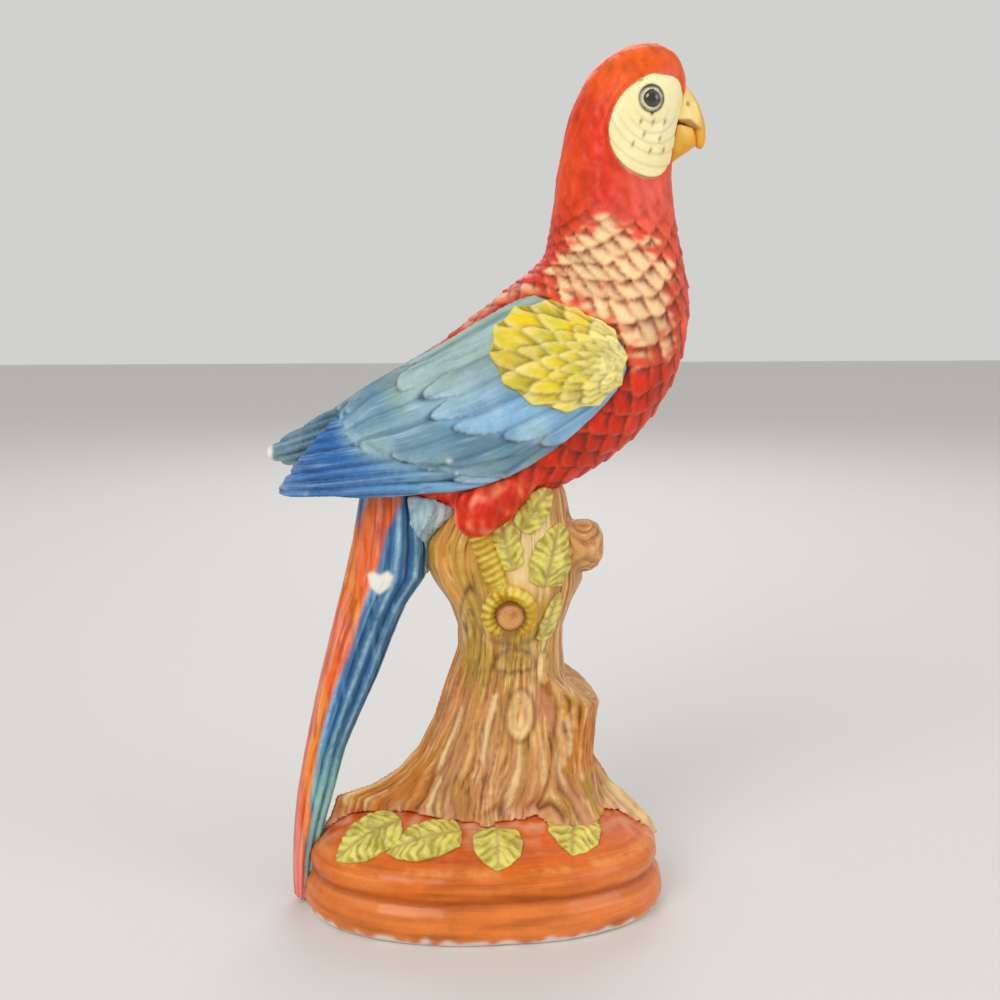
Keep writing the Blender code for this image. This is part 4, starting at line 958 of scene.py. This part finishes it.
# Each row: the rear edge's X, the share of TAIL_TALL, the front edge's X and the half width, as a share of
# TAIL_BROAD
TAIL_ROWS = np.array([
    (-54, 1.04, -30, 0.46), (-57, 0.963, -27, 0.50), (-60, 0.88, -26, 0.52), (-63.5, 0.808, -27, 0.50),
    (-68, 0.733, -36, 0.46), (-72, 0.655, -43, 0.43), (-76.5, 0.565, -50, 0.41), (-81, 0.47, -58.5, 0.38),
    (-85, 0.38, -66, 0.35), (-88.5, 0.288, -71, 0.32), (-90.5, 0.202, -76, 0.28), (-91.5, 0.115, -81, 0.24),
    (-91.5, 0.05, -83, 0.21), (-91.0, 0.015, -84, 0.17),
])[::-1]
ORANGE_BAND = [
    (-50, 206), (-53, 198), (-59, 185), (-66, 167), (-71, 148), (-77, 128.5), (-81, 109), (-84, 97),
    (-87, 84), (-89, 71), (-91, 57), (-93, 44), (-95, 31), (-96, 0), (-87.5, 0), (-85.6, 31), (-82.6, 44),
    (-82.3, 57), (-79.6, 71), (-77.4, 84), (-74.3, 97), (-69.9, 109), (-62.1, 128.5), (-56.2, 148),
    (-49, 167), (-44.6, 185), (-38, 198), (-36, 206),
]
TAIL_CHIP = [
    (-48, 156), (-43, 160), (-41.5, 165), (-44, 167.5), (-47.5, 165.5), (-50.5, 167), (-53.5, 165.5),
    (-52, 160),
]

tail, spots, out = casting("tail_clay", ["tail"], 0.65, swell=0.3, relax=9)
x, y, z = spots.T
rear, front, wide = (np.interp(z / TAIL_TALL, TAIL_ROWS[:, 1], TAIL_ROWS[:, k]) for k in (0, 2, 3))
bearing = np.arctan2(np.abs(y) / (TAIL_BROAD * wide), (x - (rear + front) / 2) / ((front - rear) / 2))
plumes = (1 - bearing / np.pi) * TAIL_PLUMES + 0.12 * clouds(spots, (14.0, 14.0, 60.0), 4.0)
plume, slip = np.floor(plumes), plumes - np.floor(plumes)
furrow = bump_at(np.where(slip < 0.5, slip, 1 - slip), 0.09)
barbs = clouds(spots, (2.0, 2.0, 30.0), 9.0)
height = 0.75 * np.sin(np.pi * slip) - 0.35 - 0.35 * furrow + 0.12 * barbs
model(tail, spots + out * height[:, None])
brush_along(tail, plumes * 3.4, z / 52.0, np.sign(y))

band = within(x, z, ORANGE_BAND, 2.2)
glints = clouds(spots, (9.0, 9.0, 70.0), 14.0) + 0.5 * ramp(120.0 - z, 0, 60)
# Painted shade in the furrows between the plumes and a painted highlight along their crests, both faint on
# the orange band
note(
    tail, groove=as_mask(furrow * 0.85 + 0.3 * ramp(-barbs, 0.1, 0.7)) * (1 - 0.9 * band),
    ridge=as_mask(bump_at(slip - 0.42, 0.12) + 0.3 * ramp(barbs, 0.3, 0.8)) * (1 - 0.8 * band), band=band,
    streak=band * ramp(-barbs + 0.7 * furrow, 0.15, 0.7) * 0.65, chip=within(x, z, TAIL_CHIP, 0.8) * (y < 0),
    gold=band * ramp(glints, 0.1, 0.7) * 0.5, teal=(1 - band) * ramp(95.0 - z, 0, 40.0),
    rose=ramp(rear + 1.8 + 0.06 * np.maximum(70.0 - z, 0) - x, 0.0, 1.5) * ramp(160.0 - z, 0, 30),
    periwinkle=(1 - band) * ramp(rear + 12 - x, 0, 8) * ramp(z, 150, 185),
    tone=shuffled(plume, np.sign(y), 4.0),
)
painted(
    tail, (44, 108, 162),
    [("teal", (128, 190, 190)), ("periwinkle", (112, 144, 204)), ("band", (238, 104, 26)),
     ("gold", (250, 164, 40)), ("streak", (176, 62, 20)), ("rose", (236, 128, 112))],
    shade_and_wash=(14, 42, 78), highlight_and_rub=(186, 226, 234), drag=0.4,
)
fit(tail, "blue_plumage", "tail")

# Undertail: a wedge of pale downy feathers in clay that fills the angle between the tail, the thighs and the
# top of the stump, painted pale blue grey
undertail, spots, out = casting("undertail_clay", ["undertail_coverts"], 0.7, swell=0.4, relax=8)
x, y, z = spots.T
sweep = np.stack([x + 0.15 * z + 2.5 * clouds(spots, 12.0), y, z * 0.22], 1)
down = clouds(sweep, 3.6, 3.0)
height = 0.7 * np.tanh(2.5 * np.abs(down)) - 0.4 + 0.15 * clouds(spots, (2.0, 2.0, 6.0), 4.0)
model(undertail, spots + out * height[:, None])
brush_along(undertail, *(sweep / 1.6).T)
note(
    undertail, groove=bump_at(down, 0.14) * 0.35, ridge=ramp(down, 0.2, 0.7),
    blue=ramp(182.0 - z + 6 * clouds(spots, 8.0), 0.0, 18.0) * 0.8,
)
painted(
    undertail, (176, 206, 216), [("blue", (96, 158, 200))],
    shade_and_wash=(84, 122, 144), highlight_and_rub=(232, 242, 242), gloss=0.45,
)
fit(undertail, "pale_plumage", "undertail_coverts")

# Legs and claws: scaly clay shanks, and toes that ring the twig's cut ends, painted ochre, with painted
# shade between the scales and a yellow painted highlight, rubbed in places, on the scales that face up
TOE_RING = 10.5
SCALE_STEP = 3.3

for side_name in SIDES:
    leg_nodes = ["leg_" + side_name, "foot_" + side_name]
    leg, spots, out = casting("leg_clay_" + side_name, leg_nodes, 0.5, swell=0.4, relax=4)
    x, y, z = spots.T
    ring = ramp(16.0 - np.hypot(x - PERCH[0], z - PERCH[1]), 0.0, 3.0)
    bearing = np.arctan2(z - PERCH[1], x - PERCH[0])
    along = ring * bearing * TOE_RING + (1 - ring) * (z * 0.9 - x * 0.45)
    scales = np.cos(2 * np.pi * along / SCALE_STEP + 0.5 * clouds(spots, 6.0, 2.0))
    soft = 1 - 0.8 * ring * ramp(x, 6.0, 15.0)
    outward = ramp(np.abs(out[:, 1]) - 0.3 * out[:, 0], 0.0, 0.6)
    height = 0.26 * soft * scales * outward + 0.15 * clouds(spots, 1.8, 3.0)
    model(leg, spots + out * height[:, None])
    note(
        # Painted shade darkens the grooves between the scales; a painted highlight lightens the crests of the
        # scales that face up and back
        leg, groove=ramp(-scales, 0.3, 0.95) * 0.6 * soft,
        ridge=ramp(scales, 0.1, 0.8) * ramp(out[:, 2] - out[:, 0] * 0.5, -0.4, 0.5),
        lemon=ramp(clouds(spots, 6.0, 12.0), -0.1, 0.5),
    )
    painted(leg, (206, 158, 32), [("lemon", (224, 196, 66))], shade_and_wash=(128, 86, 14), highlight_and_rub=(248, 232, 140))
    fit(leg, "leg_paint", *leg_nodes)

# Faces: a thin raised patch of clay on each cheek, painted cream as bare skin, with faint creases under the
# eye, a dark line round it and eight short dabs of grey
EYE = (72.0, 375.0)
FACE_MIDDLE = np.array((70.0, 364.0))
CREASES = (9.5, 13.5, 17.5, 21.5, 26.5, 31.0)
DABS = [
    (67.4, 365.4), (73.0, 365.0), (78.4, 365.5), (68.9, 360.0), (76.3, 358.4), (64.0, 355.8), (71.9, 353.1),
    (78.3, 353.6),
]


def sides_of(corners):
    """Places along the straight sides of a flat outline."""
    share = (np.arange(PARTS_OF_A_SIDE) / PARTS_OF_A_SIDE)[:, None, None]
    return (corners * (1 - share) + np.roll(corners, -1, 0) * share).transpose(1, 0, 2).reshape(-1, 2)


def reach_at(outline, bearings):
    """How far a flat outline lies from the middle of the face in each direction."""
    across, up = (outline - FACE_MIDDLE).T
    return np.interp(bearings, np.arctan2(up, across), np.hypot(across, up), period=2 * np.pi)


for side_name, side in SIDES.items():
    source = "face_patch_" + side_name
    face, spots, out = casting("face_clay_" + side_name, [source], 0.5, swell=0.5, relax=20, halvings=1)
    off = spots[:, [0, 2]] - FACE_MIDDLE
    bearings = np.arctan2(off[:, 1], off[:, 0])
    straight = reach_at(sides_of(FACE_CORNERS), bearings)
    stretch = reach_at(curve_through(FACE_CORNERS), bearings) / straight - 1
    spots[:, [0, 2]] += off * (stretch * ramp(np.hypot(off[:, 0], off[:, 1]) / straight, 0.5, 0.9))[:, None]
    x, y, z = spots.T
    reach = np.hypot((x - EYE[0] + 0.12 * (z - EYE[1])) * 1.08, (z - EYE[1]) * 0.92)
    crease = sum(bump_at(reach - radius, 0.55) for radius in CREASES) * ramp(EYE[1] - 2 - z, 0.0, 9.0)
    lid = bump_at(np.hypot(x - EYE[0], z - EYE[1] + 0.3) - 4.5, 0.7)
    height = softened(face, -0.26 * crease + 0.6 * lid * ramp(side * out[:, 1], 0, 0.5))
    model(face, spots + out * height[:, None])
    dabs = sum(bump_at(np.hypot(x - dx - 0.3 * (z - dz), (z - dz) * 0.45), 0.62) for dx, dz in DABS)
    liner = bump_at(np.hypot(x - EYE[0], (z - EYE[1]) * 0.95) - 5.0, 0.6)
    point = bump_at(np.hypot((x - EYE[0] - 0.3) * 1.6, z - EYE[1] + 6.0), 1.0)
    note(
        face, groove=as_mask(crease * 0.32), ridge=as_mask(lid), dab=as_mask(dabs) * 0.85,
        liner=as_mask(2.4 * liner + 1.4 * point),
        blush=ramp(clouds(spots, 12.0, 4.0) + 0.02 * (EYE[1] - z), 0.2, 0.8) * 0.5,
    )
    painted(
        face, FACE_CREAM, [("blush", (250, 228, 160)), ("dab", (112, 98, 78)), ("liner", (44, 34, 26))],
        shade_and_wash=(176, 176, 146), highlight_and_rub=(255, 250, 220), gloss=0.6, brush=0.15,
    )
    fit(face, "face_paint", source)

# Eyes: clay beads pressed into the cheeks, painted black with a brown iris and a pale rim, and finished
# under a thick gloss glaze
IRIS = 2.7

for side_name in SIDES:
    eye, spots, out = casting("eye_bead_" + side_name, ["eye_" + side_name], 0.25, swell=0.05, relax=14)
    reach = np.hypot(spots[:, 0] - EYE[0], spots[:, 2] - EYE[1])
    note(eye, iris=bump_at(reach - IRIS, 0.5), rim=ramp(reach, 3.7, 4.1))
    glaze = bpy.data.materials.new(eye.name + "_glaze")
    glaze.use_nodes = True
    tree = glaze.node_tree
    shader = tree.nodes["Principled BSDF"].inputs
    place = node(tree, "TexCoord").outputs["Object"]
    cloudy = node(tree, "TexNoise", {"Vector": place, "Scale": 900.0}).outputs[0]
    dark = mix(tree, math(tree, "MULTIPLY", read(tree, "iris"), cloudy), srgb(22, 14, 12), srgb(96, 66, 52))
    dark = mix(tree, read(tree, "rim"), dark, srgb(236, 226, 190))
    tree.links.new(dark, shader["Base Color"])
    tree.links.new(math(tree, "MULTIPLY", cloudy, 0.12), shader["Roughness"])
    shader["Coat Weight"].default_value = 1.0
    shader["Coat Roughness"].default_value = 0.03
    eye.data.materials.append(glaze)
    fit(eye, "eye_gloss", "eye_" + side_name)

# Beak: two plain horn-shaped halves of clay, painted ochre yellow, with a dent for each nostril and a dark
# line where the halves meet, both darkened as painted shade, and a painted highlight on the flat sides
NOSTRIL = (90.2, 374.0)
MOUTH = 363.0

for half_name, swell, towards_mouth in (("upper", 0.45, -1.0), ("lower", 0.6, 1.0)):
    source = "beak_" + half_name
    beak, spots, out = casting("beak_clay_" + half_name, [source], 0.4, swell=swell, relax=8)
    x, y, z = spots.T
    nostril = bump_at(np.hypot(x - NOSTRIL[0], (z - NOSTRIL[1]) * 0.8), 0.9) * ramp(np.abs(y), 2.0, 4.0)
    model(beak, spots + out * (0.06 * clouds(spots, 4.0) - 0.8 * nostril)[:, None])
    # Painted shade: the nostril dents and the faces turned towards the mouth are darkened
    lips = ramp(towards_mouth * out[:, 2], 0.35, 0.8) * ramp(np.abs(z - MOUTH), 6.0, 3.0)
    note(
        beak, groove=as_mask(nostril * 0.9 + 0.8 * lips), ridge=ramp(x, 90, 99) * 0.3,
        # Painted highlight: the flat sides just above and below the mouth line are paler
        pale=ramp(np.abs(out[:, 1]), 0.55, 0.85) * ramp(z, 361, 367) * ramp(98.5 - x, 0, 5),
        gold=ramp(clouds(spots, 9.0, 5.0) + 0.04 * (366 - z) + 0.05 * (x - 90), -0.3, 0.5),
    )
    painted(
        beak, (248, 196, 84), [("gold", (236, 166, 34)), ("pale", (253, 226, 150))],
        shade_and_wash=(150, 98, 36), highlight_and_rub=(255, 228, 140), gloss=0.7, brush=0.2,
    )
    fit(beak, "beak_paint", source)
